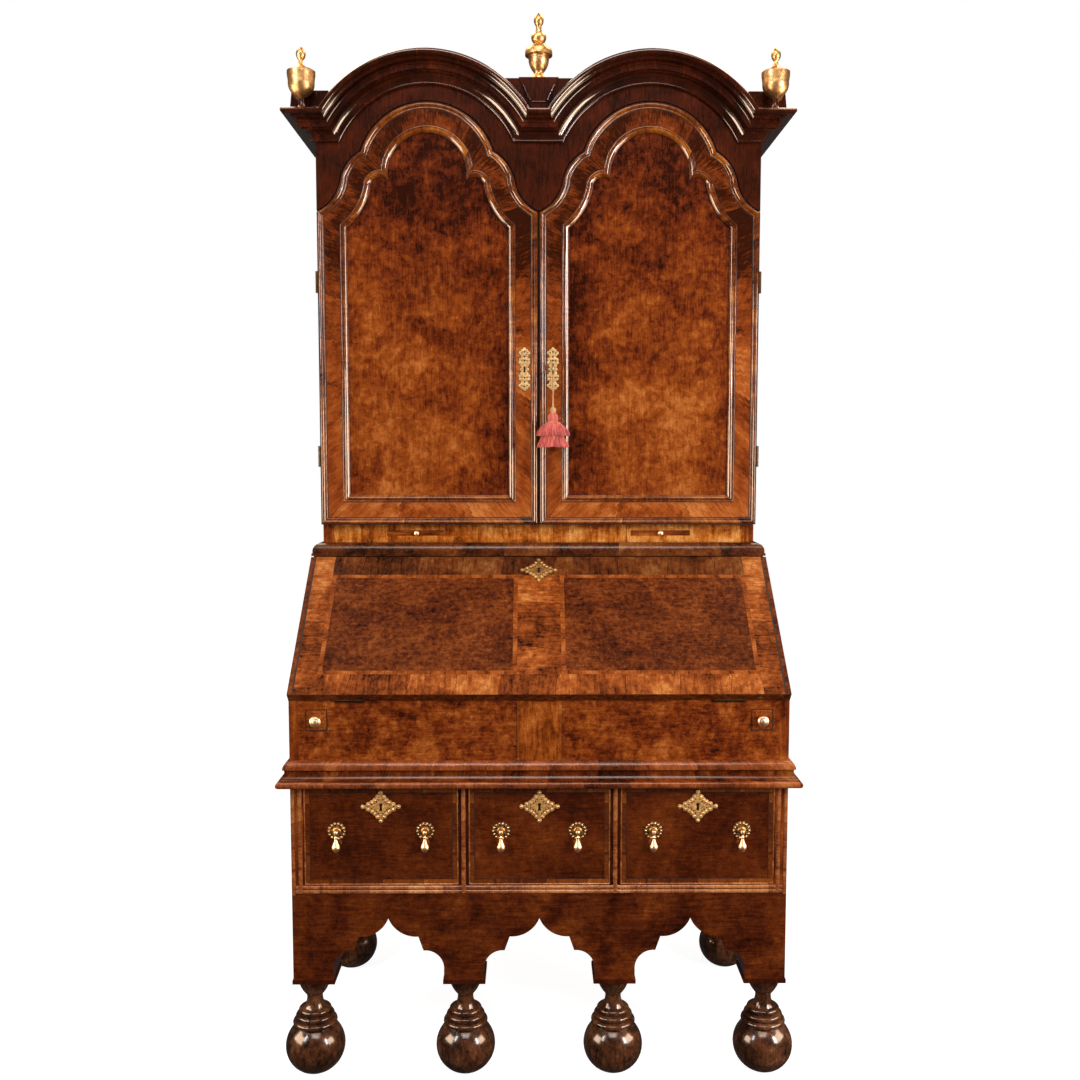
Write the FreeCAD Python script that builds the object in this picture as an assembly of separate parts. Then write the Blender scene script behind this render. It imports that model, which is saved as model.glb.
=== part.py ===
import FreeCAD, Part
import math
import os

Vec = FreeCAD.Vector

# Walnut bureau cabinet on a stand. Lengths are in millimetres. X runs to the right, Y to the back,
# Z up from the floor. The origin is on the floor under the middle of the case.

# Stand and carcass
case_width = 1000.0
case_depth = 575.0
back_thickness = 12.0
front_thickness = 20.0
stand_side_thickness = 25.0
bureau_side_thickness = 20.0
seat_gap = 0.3

# Feet
foot_height = 200.0
ball_radius = 61.0
ball_sink = 4.0
collar_radius = 44.0
collar_height = 12.0
ring_radius = 38.0
ring_height = 12.0
neck_ring_radius = 31.0
neck_ring_height = 11.0
neck_radius = 16.5
cushion_radius = 34.0
cushion_height = 36.0
tenon_radius = 9.0
tenon_length = 42.0
tenon_clearance = 0.15
block_width = 82.0
foot_outset = 6.0
back_foot_clearance = 1.0
ring_round = 4.0
ring_step = 2.0
block_height = 60.0
pad_thickness = 8.0
pad_lip = 2.0

# Apron and drawers
apron_height = 181.0
arch_rise = 129.0
deck_thickness = 18.0
drawer_opening_height = 204.0
divider_thickness = 18.0
drawer_clearance = 1.2
drawer_board = 10.0
drawer_bottom_thickness = 8.0
drawer_back_room = 63.0
drawer_side_drop = 45.0

# Waist moulding
waist_projection = 24.0
waist_bead_height = 14.0
waist_cove_height = 21.0
waist_ovolo_height = 18.0
waist_step = 2.0
waist_bead_depth = 5.0
waist_cove_hollow = 3.0

# Bureau
bureau_bottom_thickness = 20.0
bureau_front_height = 175.0
bed_thickness = 20.0
fall_thickness = 20.0
fall_run = 266.0
fall_rise = 248.0
fall_axis_offset = 2.0
fall_gap = 2.0
fall_seat_gap = 0.4
fall_plate_inset = 6.0
top_board_thickness = 28.0
top_fillet_height = 5.0
top_ovolo_inset = 2.0
top_ovolo_radius = 18.0

# Lopers, well and pigeonholes
loper_side = 40.0
loper_inset = 55.0
loper_length = 370.0
loper_clearance = 0.4
loper_knob_radius = 11.0
loper_knob_length = 19.0
guide_wall = 12.0
well_half_width = 180.0
well_front = 90.0
well_length = 200.0
well_ledge = 10.0
well_slide_thickness = 9.0
well_travel = 195.0
finger_groove_radius = 14.0
finger_groove_length = 90.0
finger_groove_depth = 3.0
pigeonhole_board = 10.0
pigeonhole_height = 224.0
pigeonhole_front = 310.0
pigeonhole_count = 6

# Cabinet
cabinet_setback = 20.0
cabinet_side_thickness = 20.0
cabinet_ledge = 18.0
base_rail_height = 39.0
base_rail_thickness = 20.0
cabinet_floor_thickness = 12.0
shelf_thickness = 16.0
shelf_count = 3
shelf_setback = 15.0
roof_thickness = 12.0
candle_slide_width = 132.0
candle_slide_thickness = 11.0
candle_back_room = 58.0
candle_slide_inset = 208.0
candle_knob_radius = 5.0
candle_knob_length = 10.0
candle_clearance = 0.5

# Doors
door_thickness = 22.0
door_gap = 2.5
meeting_gap = 2.0
door_edge_height = 677.5
bead_height = 5.0
panel_moulding_height = 6.0
panel_thickness = 12.0
panel_setback = 3.0
panel_clearance = 0.3

# Head, bead and panel of a door, as shares of half its width
shoulder_share = 0.5345
door_arch_share = 0.434
cove_width_share = 0.211
cove_rise_share = 0.234
cove_sag_share = 0.0334
lobe_width_share = 0.192
lobe_sag_share = 0.0459
bead_share = 0.0626
panel_inset_share = 0.209
panel_moulding_share = 0.0626
key_inset_share = 0.1253
door_plate_share = 0.1086

# Hinges, locks and brasses
door_hinge_height = 46.0
door_hinge_inset = 150.0
hinge_barrel_radius = 4.5
hinge_pin_radius = 2.0
hinge_pin_clearance = 0.06
hinge_leaf = 2.0
hinge_leaf_width = 19.0
hinge_clearance = 0.4
fall_hinge_length = 62.0
fall_hinge_inset = 122.0
fall_barrel_radius = 3.5
key_height = 340.0
lock_width = 44.0
lock_height = 66.0
lock_thickness = 13.0
lock_wall = 1.5
lock_clearance = 0.3
bolt_height = 12.0
bolt_thickness = 5.0
bolt_length = 36.0
bolt_throw = 8.0
bolt_rise = 18.0
bolt_end_clearance = 1.5
key_shank_radius = 3.0
key_shank_clearance = 0.08
key_shank_out = 14.0
key_bow_radius = 10.0
key_wire_radius = 2.0
key_bit_length = 9.0
key_bit_thickness = 4.0
door_plate_height = 94.0
plate_thickness = 1.5
keyhole_radius = 3.6
lozenge_width = 80.0
lozenge_height = 64.0
lozenge_drop = 42.0
handle_plate_radius = 19.0
handle_drop = 92.0
handle_spacing = 178.0
centre_handle_spacing = 154.0
handle_pin_radius = 1.6
handle_pin_offset = 12.0
handle_eye_radius = 4.2
handle_eye_width = 5.0
handle_eye_sink = 0.5
handle_lug_wall = 1.6
handle_lug_thickness = 3.0
drop_length = 40.0
drop_radius = 9.5
drop_stem_radius = 2.2
drop_shoulder_angle = math.radians(25)

# Cord and tassel
cord_radius = 2.0
cord_length = 72.0
tassel_head_height = 32.0
tassel_head_radius = 12.0
tassel_skirt_height = 55.0
tassel_half_width = 30.0
tassel_flatness = 0.36

# Cornice and finials
cornice_height = 58.0
cornice_projection = 62.0
cornice_lift = 17.0
cornice_arch_share = 0.505
centre_run_share = 0.4426
roof_reveal = 3.0
valley_lift = 64.0
plinth_height = 66.0
plinth_top_width = 84.0
plinth_bottom_width = 30.0
plinth_depth = 44.0
corner_block_height = 40.0
corner_block_overhang = 45.0
corner_block_length = 100.0
corner_block_depth = 66.0
corner_block_lip = 6.0
centre_finial_height = 139.0
centre_finial_radius = 29.0
corner_finial_height = 133.0
corner_finial_radius = 30.0
corner_finial_overhang = 23.0
corner_finial_lead = 4.0

# Places worked out from the sizes above
back_y = (case_depth + waist_projection) / 2
front_y = back_y - case_depth
half_case = case_width / 2
inner_back_y = back_y - back_thickness

pad_z = foot_height
apron_z = pad_z + pad_thickness
deck_z = apron_z + apron_height
drawer_z = deck_z + deck_thickness
bureau_z = drawer_z + drawer_opening_height
well_floor_z = bureau_z + bureau_bottom_thickness
writing_z = bureau_z + bureau_front_height
bed_z = writing_z - bed_thickness

foot_x = half_case - block_width / 2
foot_pitch = 2 * foot_x / 3
front_foot_y = front_y + block_width / 2
back_foot_y = back_y - ball_radius - back_foot_clearance
stand_inner_x = half_case - stand_side_thickness
drawer_length = case_depth - back_thickness - drawer_back_room
bureau_inner_x = half_case - bureau_side_thickness

# The fall turns about its inner lower corner and leans back along this slope
fall_y = front_y - fall_axis_offset
fall_z = writing_z
fall_hinge_centre = half_case - fall_hinge_inset
fall_slope = math.atan2(fall_rise, fall_run)
fall_length = math.hypot(fall_run, fall_rise)
fall_top_y = fall_y + fall_run - fall_thickness * math.sin(fall_slope)
fall_top_z = fall_z + fall_rise + fall_thickness * math.cos(fall_slope)
top_front_y = fall_top_y + fall_gap
top_z = fall_top_z + fall_gap
cabinet_z = top_z + top_board_thickness

loper_x = half_case - loper_inset
loper_top_z = fall_z - fall_thickness - loper_clearance
loper_z = loper_top_z - loper_side

# The doors and the frieze board share one front plane
half_cabinet = half_case - cabinet_setback
cabinet_inner_x = half_cabinet - cabinet_side_thickness
door_y = top_front_y + cabinet_ledge
carcass_y = door_y + door_thickness
door_z = cabinet_z + base_rail_height + door_gap / 2
door_half = (half_cabinet - meeting_gap / 2) / 2
door_x = meeting_gap / 2 + door_half
door_arch_rise = door_arch_share * door_half
bead_width = bead_share * door_half
panel_inset = panel_inset_share * door_half
panel_moulding_width = panel_moulding_share * door_half
shoulder_z = door_z + door_edge_height
cusp_z = shoulder_z + shoulder_share * door_half
floor_z = cabinet_z + base_rail_height - cabinet_floor_thickness
candle_slide_x = half_cabinet - candle_slide_inset
candle_slide_length = inner_back_y - carcass_y - candle_back_room - guide_wall
slide_z = cabinet_z + (base_rail_height - candle_slide_thickness) / 2
key_x = meeting_gap / 2 + key_inset_share * door_half
door_plate_width = door_plate_share * door_half
key_z = door_z + key_height

# Cornice arches stand over the doors
cornice_z = cusp_z + cornice_lift
cornice_top_z = cornice_z + cornice_height
cornice_arch_rise = cornice_arch_share * door_half
arch_half_chord = door_x - centre_run_share * door_half / 2
arch_radius = (arch_half_chord ** 2 + cornice_arch_rise ** 2) / (2 * cornice_arch_rise)
arch_z = cornice_z + cornice_arch_rise - arch_radius
arch_outer_radius = arch_radius + cornice_height
roof_radius = arch_outer_radius - roof_reveal
valley_z = cornice_top_z + valley_lift


def block(x0, x1, y0, y1, z0, z1):
    """Box between two opposite corners."""
    return Part.makeBox(x1 - x0, y1 - y0, z1 - z0, Vec(x0, y0, z0))


def rod(radius, length, start, direction):
    """Round rod from a start point."""
    return Part.makeCylinder(radius, length, start, direction)


def outline(place, start, steps):
    """Closed face. A step is a point, or a pair of points that an arc passes through and ends on."""
    edges = []
    here = start
    for step in steps:
        if isinstance(step[0], tuple):
            middle, there = step
            edges.append(Part.Arc(place(*here), place(*middle), place(*there)).toShape())
        else:
            there = step
            edges.append(Part.LineSegment(place(*here), place(*there)).toShape())
        here = there
    if here != start:
        edges.append(Part.LineSegment(place(*here), place(*start)).toShape())
    return Part.Face(Part.Wire(edges))


def front_board(start, steps, y0, y1):
    """Board with an outline in X and Z, between two Y planes."""
    return outline(lambda x, z: Vec(x, y0, z), start, steps).extrude(Vec(0, y1 - y0, 0))


def side_board(start, steps, x0, x1):
    """Board with an outline in Y and Z, between two X planes."""
    return outline(lambda y, z: Vec(x0, y, z), start, steps).extrude(Vec(x1 - x0, 0, 0))


def plan_prism(points, z0, z1):
    """Upright prism over a plan outline in X and Y."""
    return outline(lambda x, y: Vec(x, y, z0), points[0], points[1:]).extrude(Vec(0, 0, z1 - z0))


def turning(start, steps, x, y, z):
    """Turned piece from an outline of radius and height, standing on a point."""
    face = outline(lambda radius, height: Vec(radius, 0, height), start, steps)
    piece = face.revolve(Vec(0, 0, 0), Vec(0, 0, 1), 360)
    piece.translate(Vec(x, y, z))
    return piece


def mirrored(shape):
    """The same piece on the other side of the case."""
    return shape.mirror(Vec(0, 0, 0), Vec(1, 0, 0))


def save(node, *solids):
    """Write one named piece, or a group of like pieces."""
    shape = solids[0] if len(solids) == 1 else Part.makeCompound(list(solids))
    shape.exportStep("parts/" + node + ".step")


def ball_foot(x, y):
    """Turned foot: flattened ball, three rings, neck, cushion and a tenon above."""
    ball_z = ball_radius - ball_sink
    sole = math.sqrt(ball_radius ** 2 - ball_z ** 2)
    collar_foot = collar_radius - ring_step
    collar_z = ball_z + math.sqrt(ball_radius ** 2 - collar_foot ** 2)
    ring_z = collar_z + collar_height
    neck_ring_z = ring_z + ring_height
    flare_z = neck_ring_z + neck_ring_height
    cushion_z = foot_height - cushion_height
    steps = [(sole, 0),
             ((ball_radius, ball_z), (collar_foot, collar_z)),
             ((collar_radius, collar_z + collar_height / 2), (collar_radius - ring_round, ring_z)),
             (ring_radius - ring_step / 2, ring_z),
             ((ring_radius, ring_z + ring_height / 2), (ring_radius - ring_round, neck_ring_z)),
             (neck_ring_radius - ring_step / 2, neck_ring_z),
             ((neck_ring_radius, neck_ring_z + neck_ring_height / 2), (neck_ring_radius - ring_round, flare_z)),
             ((neck_radius + ring_round, (flare_z + cushion_z) / 2), (neck_radius, cushion_z)),
             (neck_radius + ring_step, cushion_z),
             ((cushion_radius - ring_round, cushion_z + cushion_height / 2),
              (cushion_radius, foot_height - ring_round)),
             (cushion_radius, foot_height),
             (tenon_radius, foot_height),
             (tenon_radius, foot_height + tenon_length),
             (0, foot_height + tenon_length)]
    return turning((0, 0), steps, x, y, 0)


def foot_block(x, foot, y, y0, y1):
    """Pad under the case with a block above it, bored for the foot's tenon."""
    half_pad = block_width / 2 + pad_lip
    pad = block(x - half_pad, x + half_pad, y - half_pad, y + half_pad, pad_z, apron_z)
    x0 = max(x - block_width / 2, -stand_inner_x)
    x1 = min(x + block_width / 2, stand_inner_x)
    body = pad.fuse(block(x0, x1, y0, y1, apron_z, apron_z + block_height)).removeSplitter()
    bore = rod(tenon_radius + tenon_clearance, tenon_length + tenon_clearance, Vec(foot, y, pad_z), Vec(0, 0, 1))
    return body.cut(bore)


def scallop(centre, half_span):
    """Steps along one arch of the lower edge, from its left pier to its right pier."""
    # A half arch, in parts of the half span and of the rise: point, shoulder, step, quarter round, pier
    point, shoulder = (0.16, 0.19), (0.54, 0.295)
    step, round_middle, round_end = (0.63, 0.52), (0.91, 0.61), (1.0, 0.84)

    def put(part, side):
        return (centre + side * part[0] * half_span, apron_z + (1 - part[1]) * arch_rise)

    return [put((1, 1), -1), put(round_end, -1), (put(round_middle, -1), put(step, -1)), put(shoulder, -1),
            (put(point, -1), put((0, 0), 1)),
            (put(point, 1), put(shoulder, 1)), put(step, 1), (put(round_middle, 1), put(round_end, 1)),
            put((1, 1), 1)]


def make_stand():
    feet = []
    blocks = []
    half_block = block_width / 2
    front_row = [(x, front_foot_y, front_y + front_thickness)
                 for x in (-foot_x, -foot_pitch / 2, foot_pitch / 2, foot_x)]
    back_row = [(x, back_foot_y, back_foot_y - half_block) for x in (-foot_x, foot_x)]
    for x, y, y0 in front_row + back_row:
        outset = foot_outset if abs(x) == foot_x else 0.0
        foot = x + math.copysign(outset, x)
        feet.append(ball_foot(foot, y))
        blocks.append(foot_block(x, foot, y, y0, y + half_block))
    save("ball_feet", *feet)
    save("foot_blocks", *blocks)

    half_span = (foot_pitch - block_width) / 2
    lower_edge = []
    for x in (-foot_pitch, 0, foot_pitch):
        lower_edge += scallop(x, half_span)
    apron = front_board((-half_case, apron_z),
                        lower_edge + [(half_case, apron_z), (half_case, deck_z), (-half_case, deck_z)],
                        front_y, front_y + front_thickness)
    save("stand_apron", apron)

    front_pier = front_y + block_width
    back_pier = back_foot_y - block_width / 2
    behind_apron = front_y + front_thickness
    steps = scallop((front_pier + back_pier) / 2, (back_pier - front_pier) / 2)
    steps += [(back_y, apron_z), (back_y, bureau_z), (front_y, bureau_z), (front_y, deck_z),
              (behind_apron, deck_z)]
    side = side_board((behind_apron, apron_z), steps, -half_case, -stand_inner_x)
    save("stand_side_left", side)
    save("stand_side_right", mirrored(side))

    save("drawer_deck", block(-stand_inner_x, stand_inner_x, front_y, inner_back_y, deck_z, drawer_z))
    dividers = []
    for x in (-foot_pitch / 2, foot_pitch / 2):
        half = divider_thickness / 2
        dividers.append(block(x - half, x + half, front_y, inner_back_y, drawer_z, bureau_z))
    save("drawer_dividers", *dividers)


def lathe_drop(x, y, z):
    """Pear-shaped drop below its eye, hanging from a pin."""
    neck = handle_eye_radius - handle_eye_sink
    middle = drop_radius - drop_length
    shoulder_radius = drop_radius * math.cos(drop_shoulder_angle)
    shoulder = middle + drop_radius * math.sin(drop_shoulder_angle)
    steps = [(drop_stem_radius, -neck), (drop_stem_radius, middle / 2), (shoulder_radius, shoulder),
             ((drop_radius, middle), (0, -drop_length))]
    body = turning((0, -neck), steps, x, y, z)
    half_eye = handle_eye_width / 2
    eye = rod(handle_eye_radius, handle_eye_width, Vec(x - half_eye, y, z), Vec(1, 0, 0))
    bore_radius = handle_pin_radius + hinge_pin_clearance
    bore = rod(bore_radius, handle_eye_width, Vec(x - half_eye, y, z), Vec(1, 0, 0))
    return body.fuse(eye).cut(bore)


def handle_plate(x, z):
    """Round plate with two lugs that carry the pin of a drop."""
    plate = rod(handle_plate_radius, plate_thickness, Vec(x, front_y, z), Vec(0, -1, 0))
    inner = handle_eye_width / 2 + hinge_clearance
    outer = inner + handle_lug_thickness
    pin_y = front_y - handle_pin_offset
    lug_radius = handle_pin_radius + handle_lug_wall
    for x0, x1 in ((x - outer, x - inner), (x + inner, x + outer)):
        plate = plate.fuse(block(x0, x1, pin_y, front_y - plate_thickness, z - lug_radius, z + lug_radius))
        plate = plate.fuse(rod(lug_radius, x1 - x0, Vec(x0, pin_y, z), Vec(1, 0, 0)))
    return plate.fuse(rod(handle_pin_radius, 2 * outer, Vec(x - outer, pin_y, z), Vec(1, 0, 0)))


def lozenge(x, z):
    """Lozenge plate with a keyhole, on the front plane."""
    wide = lozenge_width / 2
    tall = lozenge_height / 2
    plate = front_board((x - wide, z), [(x, z + tall), (x + wide, z), (x, z - tall)],
                        front_y - plate_thickness, front_y)
    return plate.cut(rod(keyhole_radius, 2 * plate_thickness, Vec(x, front_y, z), Vec(0, -1, 0)))


def make_drawer(name, x0, x1, spacing, first_handle):
    """Drawer box of five boards, its brasses and its two drops."""
    bottom = drawer_z + seat_gap
    top = bureau_z - drawer_clearance
    inside_y = front_y + front_thickness
    end_y = front_y + drawer_length
    side_top = top - drawer_side_drop
    box_x0 = x0 + drawer_clearance
    box_x1 = x1 - drawer_clearance
    save("drawer_" + name,
         block(x0, x1, front_y, inside_y, bottom, top),
         block(box_x0, box_x0 + drawer_board, inside_y, end_y, bottom, side_top),
         block(box_x1 - drawer_board, box_x1, inside_y, end_y, bottom, side_top),
         block(box_x0 + drawer_board, box_x1 - drawer_board, end_y - drawer_board, end_y, bottom, side_top),
         block(box_x0 + drawer_board, box_x1 - drawer_board, inside_y, end_y - drawer_board,
               bottom, bottom + drawer_bottom_thickness))
    middle = (x0 + x1) / 2
    handle_z = bureau_z - handle_drop
    handles = (middle - spacing / 2, middle + spacing / 2)
    save("drawer_" + name + "_brasses",
         lozenge(middle, bureau_z - lozenge_drop),
         handle_plate(handles[0], handle_z),
         handle_plate(handles[1], handle_z))
    for count, x in enumerate(handles):
        save("drop_handle_" + str(first_handle + count), lathe_drop(x, front_y - handle_pin_offset, handle_z))


def make_drawers():
    divider_face = foot_pitch / 2 + divider_thickness / 2 + drawer_clearance
    centre_half = foot_pitch / 2 - divider_thickness / 2 - drawer_clearance
    outer = stand_inner_x - drawer_clearance
    make_drawer("left", -outer, -divider_face, handle_spacing, 1)
    make_drawer("centre", -centre_half, centre_half, centre_handle_spacing, 3)
    make_drawer("right", divider_face, outer, handle_spacing, 5)


def waist_outline(place):
    """Bead, cove and ovolo between the stand and the bureau."""
    cove_z = bureau_z + waist_bead_height
    ovolo_z = cove_z + waist_cove_height
    top = ovolo_z + waist_ovolo_height
    bead_root = waist_projection - waist_bead_depth
    ovolo_depth = waist_projection / 2
    cove_depth = ovolo_depth - waist_step
    return outline(place, (0, bureau_z),
                   [(bead_root, bureau_z),
                    ((waist_projection, bureau_z + waist_bead_height / 2), (bead_root, cove_z)),
                    (bead_root, cove_z + waist_step),
                    ((cove_depth + waist_cove_hollow, cove_z + waist_cove_height / 2), (cove_depth, ovolo_z)),
                    (ovolo_depth, ovolo_z),
                    (ovolo_depth, ovolo_z + waist_step),
                    ((ovolo_depth * 0.7, ovolo_z + waist_ovolo_height * 0.65), (0, top))])


def make_waist():
    out = waist_projection
    far = half_case + out
    long_front = waist_outline(lambda d, z: Vec(-far, front_y - d, z)).extrude(Vec(2 * far, 0, 0))
    top = bureau_z + waist_bead_height + waist_cove_height + waist_ovolo_height
    front = long_front.common(plan_prism([(-half_case, front_y), (-far, front_y - out), (far, front_y - out),
                                          (half_case, front_y)], bureau_z, top))
    long_side = waist_outline(lambda d, z: Vec(-half_case - d, front_y - out, z))
    side = long_side.extrude(Vec(0, back_y - front_y + out, 0))
    side = side.common(plan_prism([(-half_case, front_y), (-far, front_y - out), (-far, back_y),
                                   (-half_case, back_y)], bureau_z, top))
    save("waist_moulding", front, side, mirrored(side))


def fall_hinge_cut(x0, x1, leaf_y, leaf_z):
    """Room for one fall hinge: its barrel and a leaf let in flush."""
    room = rod(fall_barrel_radius + hinge_clearance, x1 - x0, Vec(x0, fall_y, fall_z), Vec(1, 0, 0))
    return room.fuse(block(x0, x1, fall_y, leaf_y, leaf_z, fall_z))


def make_bureau():
    slope_drop = fall_seat_gap / math.cos(fall_slope)
    low = fall_z + fall_axis_offset * math.tan(fall_slope) - slope_drop
    slope_top_y = fall_y + (top_z + slope_drop - fall_z) / math.tan(fall_slope)
    side = side_board((front_y, bureau_z),
                      [(back_y, bureau_z), (back_y, top_z), (slope_top_y, top_z), (front_y, low)],
                      -half_case, -bureau_inner_x)
    save("bureau_side_left", side)
    save("bureau_side_right", mirrored(side))
    save("bureau_bottom",
         block(-bureau_inner_x, bureau_inner_x, front_y, inner_back_y, bureau_z, well_floor_z))

    inside_y = front_y + front_thickness
    front = block(-bureau_inner_x, bureau_inner_x, front_y, inside_y, well_floor_z, writing_z)
    half_hole = loper_side / 2 + loper_clearance
    for x in (-loper_x, loper_x):
        front = front.cut(block(x - half_hole, x + half_hole, front_y, inside_y,
                                loper_z - seat_gap, loper_top_z + loper_clearance))
    half_hinge = fall_hinge_length / 2
    for x in (-fall_hinge_centre, fall_hinge_centre):
        x0 = x - half_hinge - hinge_clearance
        x1 = x + half_hinge + hinge_clearance
        front = front.cut(fall_hinge_cut(x0, x1, inside_y, fall_z - hinge_leaf))
    save("bureau_front", front)

    bed = block(-bureau_inner_x, bureau_inner_x, inside_y, inner_back_y, bed_z, writing_z)
    well_y = front_y + well_front
    bed = bed.cut(block(-well_half_width, well_half_width, well_y, well_y + well_length, bed_z, writing_z))
    slide_half = well_half_width + well_ledge
    slide_y0 = well_y - well_ledge
    slide_y1 = well_y + well_length + well_ledge
    slide_z0 = writing_z - well_slide_thickness - loper_clearance
    recess_half = slide_half + loper_clearance
    bed = bed.cut(block(-recess_half, recess_half, slide_y0 - loper_clearance,
                        slide_y1 + well_travel + loper_clearance, slide_z0 - seat_gap, writing_z))
    save("writing_bed", bed)
    slide = block(-slide_half, slide_half, slide_y0, slide_y1, slide_z0, slide_z0 + well_slide_thickness)
    groove_z = slide_z0 + well_slide_thickness + finger_groove_radius - finger_groove_depth
    groove_start = Vec(-finger_groove_length / 2, well_y + well_ledge, groove_z)
    groove = rod(finger_groove_radius, finger_groove_length, groove_start, Vec(1, 0, 0))
    save("well_slide", slide.cut(groove))

    top_half = half_case - top_ovolo_inset
    top = block(-top_half, top_half, top_front_y + top_ovolo_inset, back_y, top_z + top_fillet_height, cabinet_z)
    rounded = [edge for edge in top.Edges
               if edge.BoundBox.ZMin > cabinet_z - 1 and edge.BoundBox.YMin < back_y - 1]
    top = top.makeFillet(top_ovolo_radius, rounded)
    lip = block(-half_case, half_case, top_front_y, back_y, top_z, top_z + top_fillet_height)
    save("bureau_top", top.fuse(lip))


def loper(x):
    """Square pull-out support with a turned knob."""
    half = loper_side / 2
    bar = block(x - half, x + half, front_y, front_y + loper_length, loper_z, loper_top_z)
    neck = loper_knob_radius / 2
    ball = loper_knob_length - loper_knob_radius
    steps = [(neck, 0), (neck, ball / 2), ((loper_knob_radius, ball), (neck, loper_knob_length)),
             (0, loper_knob_length)]
    knob = turning((0, 0), steps, 0, 0, 0)
    knob.rotate(Vec(0, 0, 0), Vec(1, 0, 0), 90)
    knob.translate(Vec(x, front_y, (loper_z + loper_top_z) / 2))
    return bar, knob


def make_runners():
    save("loper_left", *loper(-loper_x))
    save("loper_right", *loper(loper_x))
    half = loper_side / 2 + loper_clearance
    inside_y = front_y + front_thickness
    guide_end = front_y + loper_length + guide_wall
    inner = loper_x - half - guide_wall
    guide = block(inner, bureau_inner_x, inside_y, guide_end, loper_z - seat_gap - guide_wall, bed_z)
    guide = guide.cut(block(loper_x - half, loper_x + half, inside_y, guide_end - guide_wall,
                            loper_z - seat_gap, bed_z))
    candle = []
    for x in (-candle_slide_x, candle_slide_x):
        candle.append(candle_guide(x))
    save("slide_guides", guide, mirrored(guide), *candle)
    for name, x in (("left", -candle_slide_x), ("right", candle_slide_x)):
        save("candle_slide_" + name, *candle_slide(x))


def candle_guide(x):
    """Trough behind the base rail that carries a candle slide."""
    half = candle_slide_width / 2 + candle_clearance
    y0 = carcass_y + base_rail_thickness
    y1 = carcass_y + candle_slide_length + guide_wall
    trough = block(x - half - guide_wall, x + half + guide_wall, y0, y1, cabinet_z, floor_z)
    return trough.cut(block(x - half, x + half, y0, y1 - guide_wall, slide_z - seat_gap, floor_z))


def candle_slide(x):
    """Thin shelf that pulls out for a candlestick, with a small knob."""
    half = candle_slide_width / 2
    shelf = block(x - half, x + half, carcass_y, carcass_y + candle_slide_length,
                  slide_z, slide_z + candle_slide_thickness)
    middle = Vec(x, carcass_y, slide_z + candle_slide_thickness / 2)
    neck = rod(candle_knob_radius / 2, candle_knob_length - candle_knob_radius, middle, Vec(0, -1, 0))
    ball = Part.makeSphere(candle_knob_radius, middle - Vec(0, candle_knob_length - candle_knob_radius, 0))
    return shelf, neck.fuse(ball).common(block(x - half, x + half, front_y, carcass_y, cabinet_z, door_z))


def make_pigeonholes():
    y0 = front_y + pigeonhole_front
    end_x = bureau_inner_x
    top = writing_z + pigeonhole_height
    boards = [block(-end_x, end_x, y0, inner_back_y, writing_z, writing_z + pigeonhole_board),
              block(-end_x, end_x, y0, inner_back_y, top - pigeonhole_board, top)]
    pitch = (2 * end_x - pigeonhole_board) / pigeonhole_count
    for count in range(pigeonhole_count + 1):
        x = -end_x + count * pitch
        boards.append(block(x, x + pigeonhole_board, y0, inner_back_y,
                            writing_z + pigeonhole_board, top - pigeonhole_board))
    save("pigeonholes", *boards)


def dome_steps(radius, flat_z, low_valley_z, half_width):
    """Steps over the two domes: corner flat, dome, valley, dome, corner flat."""
    flat = math.sqrt(radius ** 2 - (flat_z - arch_z) ** 2)
    valley = math.sqrt(radius ** 2 - (low_valley_z - arch_z) ** 2)
    peak = arch_z + radius
    return [(-half_width, flat_z), (-door_x - flat, flat_z),
            ((-door_x, peak), (-door_x + valley, low_valley_z)),
            (door_x - valley, low_valley_z),
            ((door_x, peak), (door_x + flat, flat_z)),
            (half_width, flat_z)]


def door_circles():
    """Centres and radii of the arch, the lobe and the cove of a door's head, from its centre line."""
    lobe_width = lobe_width_share * door_half
    half_chord = door_half - cove_width_share * door_half - lobe_width
    arch = (half_chord ** 2 + door_arch_rise ** 2) / (2 * door_arch_rise)
    turn = (half_chord + lobe_width, shoulder_z + cove_rise_share * door_half)
    lobe = chord_circle((half_chord, cusp_z), turn, lobe_sag_share * door_half)
    cove = chord_circle(turn, (door_half, shoulder_z), -cove_sag_share * door_half)
    return (0.0, cusp_z + door_arch_rise - arch, arch), lobe, cove


def chord_circle(a, b, sag):
    """Circle through two points, whose arc bulges by sag to the left of the way from a to b."""
    chord = math.hypot(b[0] - a[0], b[1] - a[1])
    radius = (chord ** 2 / 4 + sag ** 2) / (2 * abs(sag))
    middle = ((a[0] + b[0]) / 2, (a[1] + b[1]) / 2)
    side = math.copysign(radius - abs(sag), sag)
    left = (-(b[1] - a[1]) / chord, (b[0] - a[0]) / chord)
    return (middle[0] - left[0] * side, middle[1] - left[1] * side, radius)


def crossing(first, second):
    """The crossing of two circles that lies further from the centre line."""
    span = math.hypot(second[0] - first[0], second[1] - first[1])
    along = (first[2] ** 2 - second[2] ** 2 + span ** 2) / (2 * span)
    across = math.sqrt(first[2] ** 2 - along ** 2)
    unit = ((second[0] - first[0]) / span, (second[1] - first[1]) / span)
    foot = (first[0] + along * unit[0], first[1] + along * unit[1])
    sides = [(foot[0] - across * unit[1], foot[1] + across * unit[0]),
             (foot[0] + across * unit[1], foot[1] - across * unit[0])]
    return max(sides)


def between(circle, a, b):
    """The point of a circle midway between two of its points."""
    dx = (a[0] + b[0]) / 2 - circle[0]
    dz = (a[1] + b[1]) / 2 - circle[1]
    scale = circle[2] / math.hypot(dx, dz)
    return (circle[0] + dx * scale, circle[1] + dz * scale)


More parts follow.
